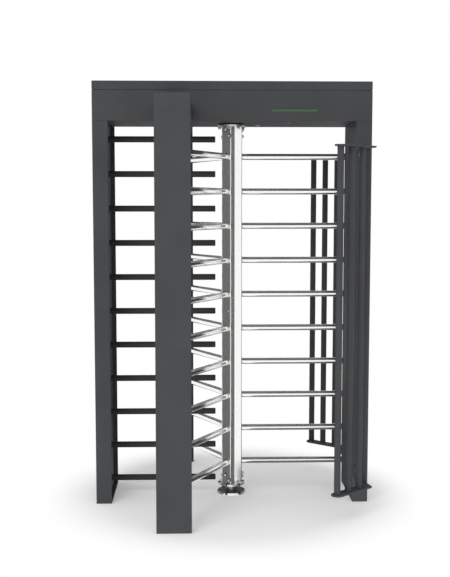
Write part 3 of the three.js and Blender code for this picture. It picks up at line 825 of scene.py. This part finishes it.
class TURNSTILE_OT_light(bpy.types.Operator):
    """Build the lens of the indicator light"""

    bl_idname = "turnstile.light"
    bl_label = "Indicator light"

    def execute(self, context):
        lens = slab("indicator_light", *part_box("indicator_light_lens"))
        pick_faces(lens, lambda centre, normal: normal.y < -0.9)
        bpy.ops.mesh.inset(thickness=0.8 * MM)
        bpy.ops.transform.translate(value=(0, 0.3 * MM, 0))
        done_editing()
        eased(lens, 0.3 * MM)
        paint(lens, "green_diffusing_lens")
        place(lens, "frame", "green_lens", "indicator_light_lens")
        return {"FINISHED"}


class TURNSTILE_OT_comb(bpy.types.Operator):
    """Build the comb's bars, each with its cap and the weld at its root"""

    bl_idname = "turnstile.comb"
    bl_label = "Comb"

    def execute(self, context):
        low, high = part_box("comb_bar_01")
        middle, radius = (low.z + high.z) / 2, (high.z - low.z) / 2
        bar = rod("comb_bar", radius, (low.x, 0, middle), (high.x, 0, middle), domed=True)
        smoothed()
        root = aimed((low.x + 1.5 * MM, 0, middle), RIGHT)
        bead = copies(bead_ring("comb_bead", radius), "comb_bead", [root])
        bar = paint(gathered("comb_bar", bar, bead), "comb_powder_coat")
        for i in range(1, 12):
            node = f"comb_bar_{i:02d}"
            piece = copies(bar, f"comb_tube_{i:02d}", [shifted(0, 0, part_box(node)[0].z - low.z)], keep=True)
            place(piece, "frame", "comb_paint", node)
        bpy.data.objects.remove(bar)
        return {"FINISHED"}


class TURNSTILE_OT_guards(bpy.types.Operator):
    """Build the guards' tubes with their welds, and dress their plates"""

    bl_idname = "turnstile.guards"
    bl_label = "Guards"

    def execute(self, context):
        low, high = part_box("front_guard_tube_1")
        radius = (high.x - low.x) / 2
        tube = rod("guard_tube", radius, (0, 0, low.z), (0, 0, high.z), ease=0.6 * MM)
        smoothed()
        ends = [shifted(0, 0, z) for z in (low.z + 2 * MM, high.z - 2 * MM)]
        beads = copies(bead_ring("guard_bead", radius), "guard_beads", ends)
        tube = paint(gathered("guard_tube", tube, beads), "graphite_powder_coat")
        for side in ("front", "rear"):
            for i in range(1, 5):
                node = f"{side}_guard_tube_{i}"
                centre = sum(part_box(node), Vector()) / 2
                where = [shifted(centre.x, centre.y, 0)]
                piece = copies(tube, f"{side}_guard_upright_{i}", where, keep=True)
                place(piece, "frame", "graphite_paint", node)
            for end in ("bottom", "top"):
                sheet_piece(f"{side}_guard_{end}_plate")
        bpy.data.objects.remove(tube)

        # Two bolts through each flange, in the middle of what the plate's own thickness leaves of it.
        thick, reaches = 8 * MM, (16 * MM, 46 * MM)
        where = []
        for side, way in (("front", -1), ("rear", 1)):
            for end, up in (("bottom", 1), ("top", -1)):
                low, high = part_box(f"{side}_guard_{end}_plate")
                face = low.y + thick if way > 0 else high.y - thick
                middle = (low.z + high.z + up * thick) / 2
                where += [aimed((high.x - reach, face, middle), BACK * way) for reach in reaches]
        fitted(hex_bolt("bolt", settings()[0].guard_bolt), "guard_bolts", where, "frame", "polished_steel")
        return {"FINISHED"}


def folded_spine(half, low, high):
    """One wing's spine: a channel, half its width to each side, whose walls meet the next wings'."""
    sizes = settings()[0]
    reach, play = SPINE_REACH, 0.2 * MM
    back = half * math.tan(math.radians(30)) + play
    fresh()
    bpy.ops.mesh.primitive_plane_add(
        size=1, location=(reach, 0, (low + high) / 2), rotation=(0, math.pi / 2, 0),
    )
    bpy.context.object.scale = (high - low, 2 * half, 1)
    spine = started("spine")
    for side in (-half, half):
        pick_edges(spine, lambda a, b: all(near(end.x, reach) and near(end.y, side) for end in (a, b)))
        bpy.ops.mesh.extrude_region_move(TRANSFORM_OT_translate={"value": (back - reach, 0, 0)})
    done_editing()
    pick_edges(spine, lambda a, b: near(abs(a.y), half) and near(a.x, reach) and near(b.x, reach)
               and abs(a.z - b.z) > 1)
    bpy.ops.mesh.bevel(offset=sizes.spine_bend, segments=5, affect="EDGES")
    bpy.ops.mesh.select_all(action="SELECT")
    bpy.ops.mesh.normals_make_consistent(inside=False)
    done_editing()
    web = next(face for face in spine.data.polygons if near(face.center.x, reach))
    if web.normal.x < 0:
        start_editing()
        bpy.ops.mesh.flip_normals()
        done_editing()
    apply_modifier(spine, "SOLIDIFY", thickness=sizes.spine_sheet, offset=-1.0)
    eased(spine, 0.5 * MM, angle=50)
    return paint(spine, "brushed_stainless_sheet")


class TURNSTILE_OT_rotor(bpy.types.Operator):
    """Build the three wings, each a folded spine with ten welded arms, and the flanges"""

    bl_idname = "turnstile.rotor"
    bl_label = "Rotor"

    def execute(self, context):
        low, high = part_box("rotor_wing_a")
        half, radius = 29 * MM, 17 * MM
        spine = folded_spine(half, low.z, high.z)
        root = SPINE_REACH - settings()[0].spine_sheet
        arm = rod("arm", radius, (root, 0, 0), (high.x, 0, 0), ease=2.5 * MM, domed=True)
        smoothed()
        paint(arm, "polished_stainless_tube")
        bead = paint(bead_ring("arm_bead", radius), "weld_bead")
        bead = copies(bead, "arm_bead", [aimed((SPINE_REACH + 0.6 * MM, 0, 0), RIGHT)])
        arm = gathered("arm", arm, bead)
        lowest, pitch = 185.75 * MM, 191.5 * MM
        arms = copies(arm, "arms", [shifted(0, 0, lowest + i * pitch) for i in range(10)])
        wing = gathered("wing", spine, arms)
        for i, letter in enumerate("abc"):
            turn = Matrix.Rotation(math.radians(120 * i), 4, "Z")
            piece = copies(wing, f"wing_{letter}", [turn], keep=True)
            place(piece, "rotor", "polished_steel", f"rotor_wing_{letter}")
        bpy.data.objects.remove(wing)

        bore, collar, rim, hub = 20.6 * MM, 38 * MM, 75 * MM, 28 * MM
        foot, step, deep, thick = 44 * MM, 52 * MM, 70 * MM, 10 * MM
        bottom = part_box("rotor_bottom_flange")[1].z
        low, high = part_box("rotor_top_flange")
        for end, outline in {
            "bottom": [
                (bore, foot), (collar, foot), (collar, step), (rim, step),
                (rim, bottom - deep), (hub, bottom - deep), (hub, bottom), (bore, bottom),
            ],
            "top": [
                (0, low.z), (hub, low.z), (hub, high.z - thick),
                (rim, high.z - thick), (rim, high.z), (0, high.z),
            ],
        }.items():
            flange = paint(lathe(f"{end}_flange", outline), "turned_stainless")
            place(flange, "rotor", "polished_steel", f"rotor_{end}_flange")
        return {"FINISHED"}


class TURNSTILE_OT_floor_pivot(bpy.types.Operator):
    """Build the floor disc, its spigot and the thrust bearing"""

    bl_idname = "turnstile.floor_pivot"
    bl_label = "Floor pivot"

    def execute(self, context):
        low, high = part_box("floor_pivot_plate")
        rim = high.x
        disc = lathe("floor_disc", [(0, low.z), (rim, low.z), (rim, high.z), (0, high.z)], ease=1.5 * MM)
        paint(disc, "turned_stainless", "black_oxide_steel")
        for face in disc.data.polygons:
            face.material_index = int(face.normal.z > 0.99)
        place(disc, "frame", "blackened_steel", "floor_pivot_plate")
        refinish("floor_pivot_spigot", "turned_machine_steel")
        refinish("floor_thrust_bearing", "turned_machine_steel")
        return {"FINISHED"}


class TURNSTILE_OT_mechanism(bpy.types.Operator):
    """Dress what stands on the mechanism plate in the header"""

    bl_idname = "turnstile.mechanism"
    bl_label = "Mechanism"

    def execute(self, context):
        for name, nodes in {
            "turned_machine_steel": (
                "rotor_shaft", "top_bearing_outer_ring", "top_bearing_inner_ring", "lock_disc",
                "front_lock_plunger", "rear_lock_plunger",
            ),
            "ground_machine_steel": (
                "mechanism_plate", "drive_gear", "motor_pinion", "front_lock_pawl", "rear_lock_pawl",
            ),
            "sand_cast_aluminium": ("top_bearing_housing", "gearmotor"),
            "black_oxide_steel": ("front_lock_solenoid", "rear_lock_solenoid"),
        }.items():
            for node in nodes:
                refinish(node, name)
        return {"FINISHED"}


class TURNSTILE_OT_drive(bpy.types.Operator):
    """Add the motor's fins, end cap and terminal box, and the gearbox's cover"""

    bl_idname = "turnstile.drive"
    bl_label = "Drive"

    def execute(self, context):
        low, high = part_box("gearmotor")
        axis = low.z + 28 * MM

        # The motor's twelve fins stand on its upper side and its flanks, 20 degrees apart.
        start, stop, thick, foot, tip = 8 * MM, 119 * MM, 1.8 * MM, 27 * MM, 31.5 * MM
        fin = slab("fin", (low.x + start, -thick / 2, foot), (low.x + stop, thick / 2, tip))
        eased(fin, 0.5 * MM)
        turns = [Matrix.Rotation(math.radians(20 * i - 110), 4, "X") for i in range(12)]
        fins = copies(fin, "motor_fins", [shifted(0, 0, axis) @ turn for turn in turns])
        cap = lathe("cap", mm(
            (0, 0), (27.5, 0), (27.5, 11), (24, 14), (18, 14), (18, 12.5),
            (14, 12.5), (14, 14), (8, 14), (8, 12.5), (0, 12.5),
        ), 64, 0.4 * MM)
        cap = copies(cap, "cap", [aimed((low.x - 0.2 * MM, 0, axis), -RIGHT)])
        shaft = Vector((high.x - 36 * MM, 0, high.z - 20 * MM))
        ring = lathe("ring", mm((9, 0.2), (31, 0.2), (31, 2.6), (9, 2.6)), 64, 0.4 * MM)
        ring = copies(ring, "ring", [shifted(*shaft)])
        trim = paint(gathered("gearmotor_trim", fins, cap, ring), "sand_cast_aluminium")
        place(trim, "frame", "cast_aluminium")

        spots = [shaft + on_circle(25 * MM, math.radians(60 * i), 2.4 * MM) for i in range(6)]
        screws = copies(cap_screw("screw", 6 * MM, 3 * MM), "screws", [aimed(spot, UP) for spot in spots])
        paint(screws, "black_oxide_steel")
        left, wide, half = low.x + 30 * MM, 52 * MM, 19 * MM
        box = slab("terminal_box", (left, -half, axis + 24 * MM), (left + wide, half, axis + 50 * MM))
        sunk_panel(box, lambda centre, normal: normal.z > 0.9, 3 * MM, 0.8 * MM)
        eased(box, 1.2 * MM)
        paint(box, "sand_cast_aluminium", "moulded_grey_plastic")
        wall = aimed((left + wide / 2, -half, axis + 38 * MM), -BACK)
        gland = copies(cable_gland("gland", 14 * MM), "gland", [wall])
        place(gathered("terminal_box", box, gland, screws), "frame", "cast_aluminium")
        return {"FINISHED"}


class TURNSTILE_OT_locks(bpy.types.Operator):
    """Add the solenoids' windings, and the springs and caps on the pawls' pins"""

    bl_idname = "turnstile.locks"
    bl_label = "Locks"

    def execute(self, context):
        low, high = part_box("rear_lock_solenoid")
        middle = (low.z + high.z) / 2
        pad = slab("pad", *mm((-19, -1.5, -25), (19, 1.5, 25)))
        sunk_panel(pad, lambda centre, normal: normal.y > 0.9, 2.5 * MM, 0.5 * MM)
        eased(pad, 0.7 * MM)
        paint(pad, "black_rubber", "copper_winding")
        plate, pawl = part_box("mechanism_plate"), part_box("rear_lock_pawl")
        spring = paint(coil_spring("spring", 9.2 * MM, 2 * MM, 8, 3.5 * MM), "ground_machine_steel")
        cap = lathe("cap", mm((0, 0.1), (9, 0.1), (9, 1.4), (6, 2.2), (0, 2.2)), 40, 0.3 * MM)
        paint(cap, "black_oxide_steel")
        for side, way in (("rear", 1), ("front", -1)):
            # A solenoid stands 60 degrees round from +X, with a winding that shows on its two long sides.
            turn = Matrix.Rotation(math.radians(60 * way), 4, "Z")
            centre_x, centre_y, half = 46.5 * MM, way * 134 * MM, 20.2 * MM
            where = [
                turn @ shifted(centre_x, centre_y + half, middle),
                turn @ shifted(centre_x, centre_y - half, middle) @ Matrix.Rotation(math.pi, 4, "Z"),
            ]
            place(copies(pad, f"{side}_solenoid_winding", where, keep=True), "frame", None)
            pin_x, pin_y = -29.69 * MM, way * 128.57 * MM
            foot = copies(spring, "spring", [shifted(pin_x, pin_y, pawl[0].z - 31 * MM)], keep=True)
            lid = copies(cap, "cap", [shifted(pin_x, pin_y, plate[1].z)], keep=True)
            place(gathered(f"{side}_pawl_spring", foot, lid), "frame", "machined_steel")
        for template in (pad, spring, cap):
            bpy.data.objects.remove(template)

        # Six bolts hold the bearing's housing, and four the plate.
        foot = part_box("top_bearing_housing")[0].z + 8 * MM
        where = [aimed(on_circle(60 * MM, math.radians(30 + 60 * i), foot), UP) for i in range(6)]
        rise = plate[0].z + 10 * MM
        where += [aimed((x * MM, y * MM, rise), UP) for x in (-290, 88) for y in (-150, 150)]
        bolt = hex_bolt("bolt", settings()[0].plate_bolt)
        fitted(bolt, "mechanism_bolts", where, "frame", "machined_steel")
        return {"FINISHED"}


class TURNSTILE_OT_control_box(bpy.types.Operator):
    """Build the control box with its lid, lid screws and cable glands"""

    bl_idname = "turnstile.control_box"
    bl_label = "Control box"

    def execute(self, context):
        low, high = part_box("control_box")
        case = slab("control_case", low, high)
        pick_faces(case, lambda centre, normal: normal.y < -0.9)
        bpy.ops.mesh.inset(thickness=3 * MM)
        for depth in (-1.2 * MM, 1.2 * MM):
            bpy.ops.mesh.inset(thickness=0.8 * MM, depth=depth)
        done_editing()
        eased(case, 1.5 * MM)
        paint(case, "moulded_grey_plastic")
        inset = 14 * MM
        across, upward = (low.x + inset, high.x - inset), (low.z + inset, high.z - inset)
        corners = [aimed((x, low.y, z), -BACK) for x in across for z in upward]
        screws = copies(button_screw("screw", 8 * MM), "screws", corners)
        paint(screws, "black_oxide_steel")
        wall = [aimed((low.x, low.y + 24 * MM, low.z + rise * MM), -RIGHT) for rise in (25, 60, 95)]
        glands = copies(cable_gland("gland", 16 * MM), "glands", wall)
        place(gathered("control_case", case, screws, glands), "frame", "grey_plastic", "control_box")
        return {"FINISHED"}


class TURNSTILE_OT_hatch(bpy.types.Operator):
    """Dress the service hatch, its lock, and the trim on the header's underside"""

    bl_idname = "turnstile.hatch"
    bl_label = "Service hatch"

    def execute(self, context):
        sheet_piece("service_hatch", body="hatch")
        refinish("hatch_lock", "ground_machine_steel")
        low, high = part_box("hatch_lock")
        centre = Vector((low.x + 11 * MM, (low.y + high.y) / 2, low.z))
        collar = lathe("collar", mm((5.5, -0.4), (8.5, -0.4), (8.5, 0.9), (5.5, 0.9)), 48, 0.2 * MM)
        fresh()
        bpy.ops.mesh.primitive_cylinder_add(
            vertices=3, radius=5 * MM, depth=1.4 * MM, location=(0, 0, 0.3 * MM),
        )
        core = eased(started("core"), 0.4 * MM)
        key = gathered("key", collar, core)
        fitted(key, "hatch_lock_key", [aimed(centre, -UP)], "hatch_lock", "machined_steel",
               "ground_machine_steel")

        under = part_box("service_hatch")[0].z
        spots = [aimed((x * MM, 84 * MM, under), -UP) for x in (144.5, 156)]
        rivet = button_screw("rivet", 8.5 * MM)
        fitted(rivet, "hatch_rivets", spots, "hatch", "polished_steel", "turned_stainless")
        outline = mm((0, -0.2), (7, -0.2), (7, 1.2), (5, 2.4), (3, 1.6), (0, 1.6))
        plug = lathe("header_plug", outline, 48, 0.3 * MM)
        hole = aimed((100 * MM, -11 * MM, under), -UP)
        fitted(plug, "header_plug", [hole], "frame", None, "black_rubber")

        # Lip seal between the header and the rotor's top.
        seal = lathe("header_ring", mm((50, -5.6), (68, -5.6), (68, -0.1), (61, -0.1), (61, -3), (50, -3)))
        fitted(seal, "header_ring", [shifted(0, 0, under)], "frame", None, "black_rubber")
        return {"FINISHED"}


class TURNSTILE_OT_fasteners(bpy.types.Operator):
    """Add the bolts, nuts and screws that show"""

    bl_idname = "turnstile.fasteners"
    bl_label = "Fasteners"

    def execute(self, context):
        sizes = settings()[0]

        def around(radius, z, direction):
            angles = [math.radians(-113 + 60 * i) for i in range(6)]
            return [aimed(on_circle(radius, angle, z), direction, angle) for angle in angles]

        def on_spines(*spots):
            """Places on each wing's web, from millimetres across it and above the floor."""
            where = []
            for turn in (0, 120, 240):
                out = on_circle(1, math.radians(turn))
                across = Vector((-out.y, out.x, 0))
                web = out * SPINE_REACH
                where += [aimed(web + across * t * MM + UP * z * MM, out) for t, z in spots]
            return where

        # The screws of the floor disc and of the flange over it stand sunk, so little of them shows.
        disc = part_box("floor_pivot_plate")[1].z - 12 * MM
        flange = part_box("rotor_bottom_flange")[0].z + 6.5 * MM
        for name, body, radius, seat in (
            ("floor_disc_bolts", "frame", 71 * MM, disc),
            ("bottom_flange_bolts", "rotor", 67 * MM, flange),
        ):
            screw = cap_screw("bolt", sizes.flange_bolt, 13 * MM)
            fitted(screw, name, around(radius, seat, UP), body, "blackened_steel", "oiled_black_screw")
        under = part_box("rotor_top_flange")[1].z - 10 * MM
        bolt = hex_bolt("bolt", sizes.top_bolt)
        fitted(bolt, "top_flange_bolts", around(66 * MM, under, -UP), "rotor", "polished_steel")

        nuts = copies(dome_nut("nut", sizes.spine_bolt), "spine_bolts",
                      on_spines((-4, 2056), (18, 2022), (-5, 114), (18, 87)))
        screws = paint(button_screw("screw", sizes.small_screw), "turned_stainless")
        screws = copies(screws, "spine_screws", on_spines((11, 1051)))
        place(gathered("spine_bolts", nuts, screws), "rotor", "polished_steel")
        return {"FINISHED"}


# Stage

# Radii of the floor and of the boards round it, and how high the boards on the ground lie.
FLOOR_RADIUS, BOARD_RADIUS, BOARD_RISE = 11, 10, 0.5 * MM
# Places in metres, and the camera's turn in degrees.
CAMERA_PLACE, CAMERA_TURN = (-0.1772, -5.2317, 1.6360), (84.945, 0, -1.552)
LAMP_PLACE, LAMP_WIDTH = (-2.4, -4.2, 4.6), 3.5


def seen(tree):
    """1 for a ray from the camera, a mirror image or clear glass, else 0; and 1 for a mirror image alone."""
    direct = add_node(tree, "ShaderNodeLightPath", output="Is Camera Ray")
    rays = direct.node.outputs
    for name in ("Is Glossy Ray", "Is Transmission Ray"):
        direct = add_node(tree, "ShaderNodeMath", {0: direct, 1: rays[name]}, operation="MAXIMUM")
    return direct, rays["Is Glossy Ray"]


def floor_material(stage):
    """Pale painted floor that keeps the object's shadow and goes over into a white background."""
    material, tree = bare_material("studio_floor")
    spot = add_node(tree, "ShaderNodeTexCoord", output="Object")
    distance = add_node(tree, "ShaderNodeVectorMath", {0: spot}, "Value", operation="LENGTH")
    away = add_node(tree, "ShaderNodeMapRange", {
        "Value": distance, "From Min": stage.floor_fade * 0.62, "From Max": stage.floor_fade,
    }, interpolation_type="SMOOTHSTEP")
    direct, mirrored = seen(tree)
    blend = add_node(tree, "ShaderNodeMath", {0: away, 1: direct}, operation="MULTIPLY")
    shades = {6: (0, 0, 0, 1), 7: (*linear("#F4F4F4"), 1)}
    pale = add_node(tree, "ShaderNodeMix", {0: direct, **shades}, 2, data_type="RGBA")
    dull = add_node(tree, "ShaderNodeBsdfDiffuse", {"Color": pale})
    # Seen directly the floor is lifted by a constant. Dull surfaces get its light from in front and from
    # both sides, and little from under the header.
    aside = add_node(
        tree, "ShaderNodeVectorMath", {0: spot, 1: (-0.2, 0.8, 0)}, "Value", operation="DISTANCE",
    )
    thrown = add_node(tree, "ShaderNodeMapRange", {
        "Value": aside, "From Min": 0.6, "From Max": 1.4,
        "To Min": stage.bounce * 0.15, "To Max": stage.bounce,
    }, interpolation_type="SMOOTHSTEP")
    lift = add_node(tree, "ShaderNodeMix", {0: direct, 2: thrown, 3: 0.2})
    lift = add_node(tree, "ShaderNodeEmission", {"Color": WHITE, "Strength": lift})
    ground = add_node(tree, "ShaderNodeAddShader", {0: dull, 1: lift})
    white = add_node(tree, "ShaderNodeEmission", {"Color": WHITE, "Strength": 1.0})
    # A mirror image shows the floor as white all over.
    blend = add_node(tree, "ShaderNodeMath", {0: blend, 1: mirrored}, operation="MAXIMUM")
    mixed = add_node(tree, "ShaderNodeMixShader", {0: blend, 1: ground, 2: white})
    add_node(tree, "ShaderNodeOutputMaterial", {"Surface": mixed})
    return material


def studio_world(stage):
    """White where it is seen, and softer as the light on dull surfaces."""
    world = bpy.data.worlds.new("studio")
    world.use_nodes = True
    tree = world.node_tree
    tree.nodes.clear()
    strength = follow(tree, seen(tree)[0], stage.ambient, 1.0, 0, 1)
    light = add_node(tree, "ShaderNodeBackground", {"Color": WHITE, "Strength": strength})
    add_node(tree, "ShaderNodeOutputWorld", {"Surface": light})
    return world


def grey_boards():
    """Boards all round and on the floor, with a window in front and a low one behind on each side."""
    front, behind = 40, 100
    fresh()
    bpy.ops.mesh.primitive_uv_sphere_add(segments=72, ring_count=45, radius=BOARD_RADIUS, location=UP)
    round_boards = started("studio_boards")

    def turned(spot):
        """Degrees round the axis from the front."""
        return math.degrees(math.atan2(spot.x, -spot.y))

    def is_open(centre, normal):
        way = (centre - UP).normalized()
        turn, rise = turned(way), math.degrees(math.asin(way.z))
        front_window = abs(turn) < front and rise < 23
        rear_board = (turn < -150 or turn > 168) and rise < 9
        rear_window = abs(turn) > behind and rise < 20 and not rear_board
        return centre.z < 0 or front_window or rear_window

    pick_faces(round_boards, is_open)
    bpy.ops.mesh.delete(type="FACE")
    done_editing()

    # On the ground a board lies on each side, one close behind the object and one under its right half.
    fresh()
    bpy.ops.mesh.primitive_circle_add(
        vertices=72, radius=BOARD_RADIUS, fill_type="TRIFAN", location=(0, 0, BOARD_RISE),
    )
    sides = started("side_boards")
    pick_faces(sides, lambda centre, normal: not front < abs(turned(centre)) < behind)
    bpy.ops.mesh.delete(type="FACE")
    done_editing()
    rear = board("rear_board", (-0.25, 0.1), (1.25, 3))
    right = board("right_board", (0.05, -0.6), (1.2, 8))
    return gathered("studio_boards", round_boards, sides, rear, right)


class TURNSTILE_OT_stage(bpy.types.Operator):
    """Set the floor, the light, the grey boards that metal mirrors, and the camera"""

    bl_idname = "turnstile.stage"
    bl_label = "Stage"

    def execute(self, context):
        stage = settings()[2]
        scene = context.scene
        scene.view_settings.view_transform = "Standard"

        fresh()
        bpy.ops.mesh.primitive_circle_add(
            vertices=96, radius=FLOOR_RADIUS, fill_type="NGON", location=(0, 0, -0.2 * MM),
        )
        floor = started("studio_floor")
        floor.data.materials.append(floor_material(stage))
        scene.world = studio_world(stage)

        boards = grey_boards()
        material, tree = bare_material("grey_board")
        glow = add_node(tree, "ShaderNodeEmission", {"Color": WHITE, "Strength": stage.boards})
        add_node(tree, "ShaderNodeOutputMaterial", {"Surface": glow})
        boards.data.materials.append(material)
        boards.visible_camera = False
        boards.visible_diffuse = False
        boards.visible_shadow = False

        fresh()
        bpy.ops.object.light_add(type="AREA", location=LAMP_PLACE)
        key = bpy.context.object
        key.name = "key_lamp"
        key.data.shape = "DISK"
        key.data.size = LAMP_WIDTH
        key.data.energy = stage.key
        key.rotation_euler = (UP - key.location).to_track_quat("-Z", "Y").to_euler()
        key.visible_glossy = False

        camera = bpy.data.objects.new("camera", bpy.data.cameras.new("camera"))
        scene.collection.objects.link(camera)
        camera.location = CAMERA_PLACE
        camera.rotation_euler = [math.radians(angle) for angle in CAMERA_TURN]
        camera.data.lens = stage.lens
        scene.camera = camera
        return {"FINISHED"}


class TURNSTILE_PT_panel(bpy.types.Panel):
    """The turnstile's settings and the steps that build it"""

    bl_idname = "TURNSTILE_PT_panel"
    bl_label = "Turnstile"
    bl_space_type = "VIEW_3D"
    bl_region_type = "UI"
    bl_category = "Turnstile"

    def draw(self, context):
        for group in settings():
            box = self.layout.box()
            for name in group.__annotations__:
                box.prop(group, name)
        for step in STEPS:
            self.layout.operator(step.bl_idname)


GROUPS = {
    "turnstile_sizes": TurnstileSizes,
    "turnstile_finish": TurnstileFinish,
    "turnstile_stage": TurnstileStage,
}
STEPS = (
    TURNSTILE_OT_sheet_metal,
    TURNSTILE_OT_light,
    TURNSTILE_OT_comb,
    TURNSTILE_OT_guards,
    TURNSTILE_OT_rotor,
    TURNSTILE_OT_floor_pivot,
    TURNSTILE_OT_mechanism,
    TURNSTILE_OT_drive,
    TURNSTILE_OT_locks,
    TURNSTILE_OT_control_box,
    TURNSTILE_OT_hatch,
    TURNSTILE_OT_fasteners,
    TURNSTILE_OT_stage,
)


def register():
    """Registers the classes and puts the settings on the scene."""
    for group in (*GROUPS.values(), *STEPS, TURNSTILE_PT_panel):
        bpy.utils.register_class(group)
    for name, group in GROUPS.items():
        setattr(bpy.types.Scene, name, PointerProperty(type=group))


def unregister():
    """Takes the settings and the classes away again."""
    for name in GROUPS:
        delattr(bpy.types.Scene, name)
    for group in reversed((*GROUPS.values(), *STEPS, TURNSTILE_PT_panel)):
        bpy.utils.unregister_class(group)


def main():
    """Builds everything in order."""
    register()
    for step in STEPS:
        area, name = step.bl_idname.split(".")
        getattr(getattr(bpy.ops, area), name)()


if __name__ == "__main__":
    main()
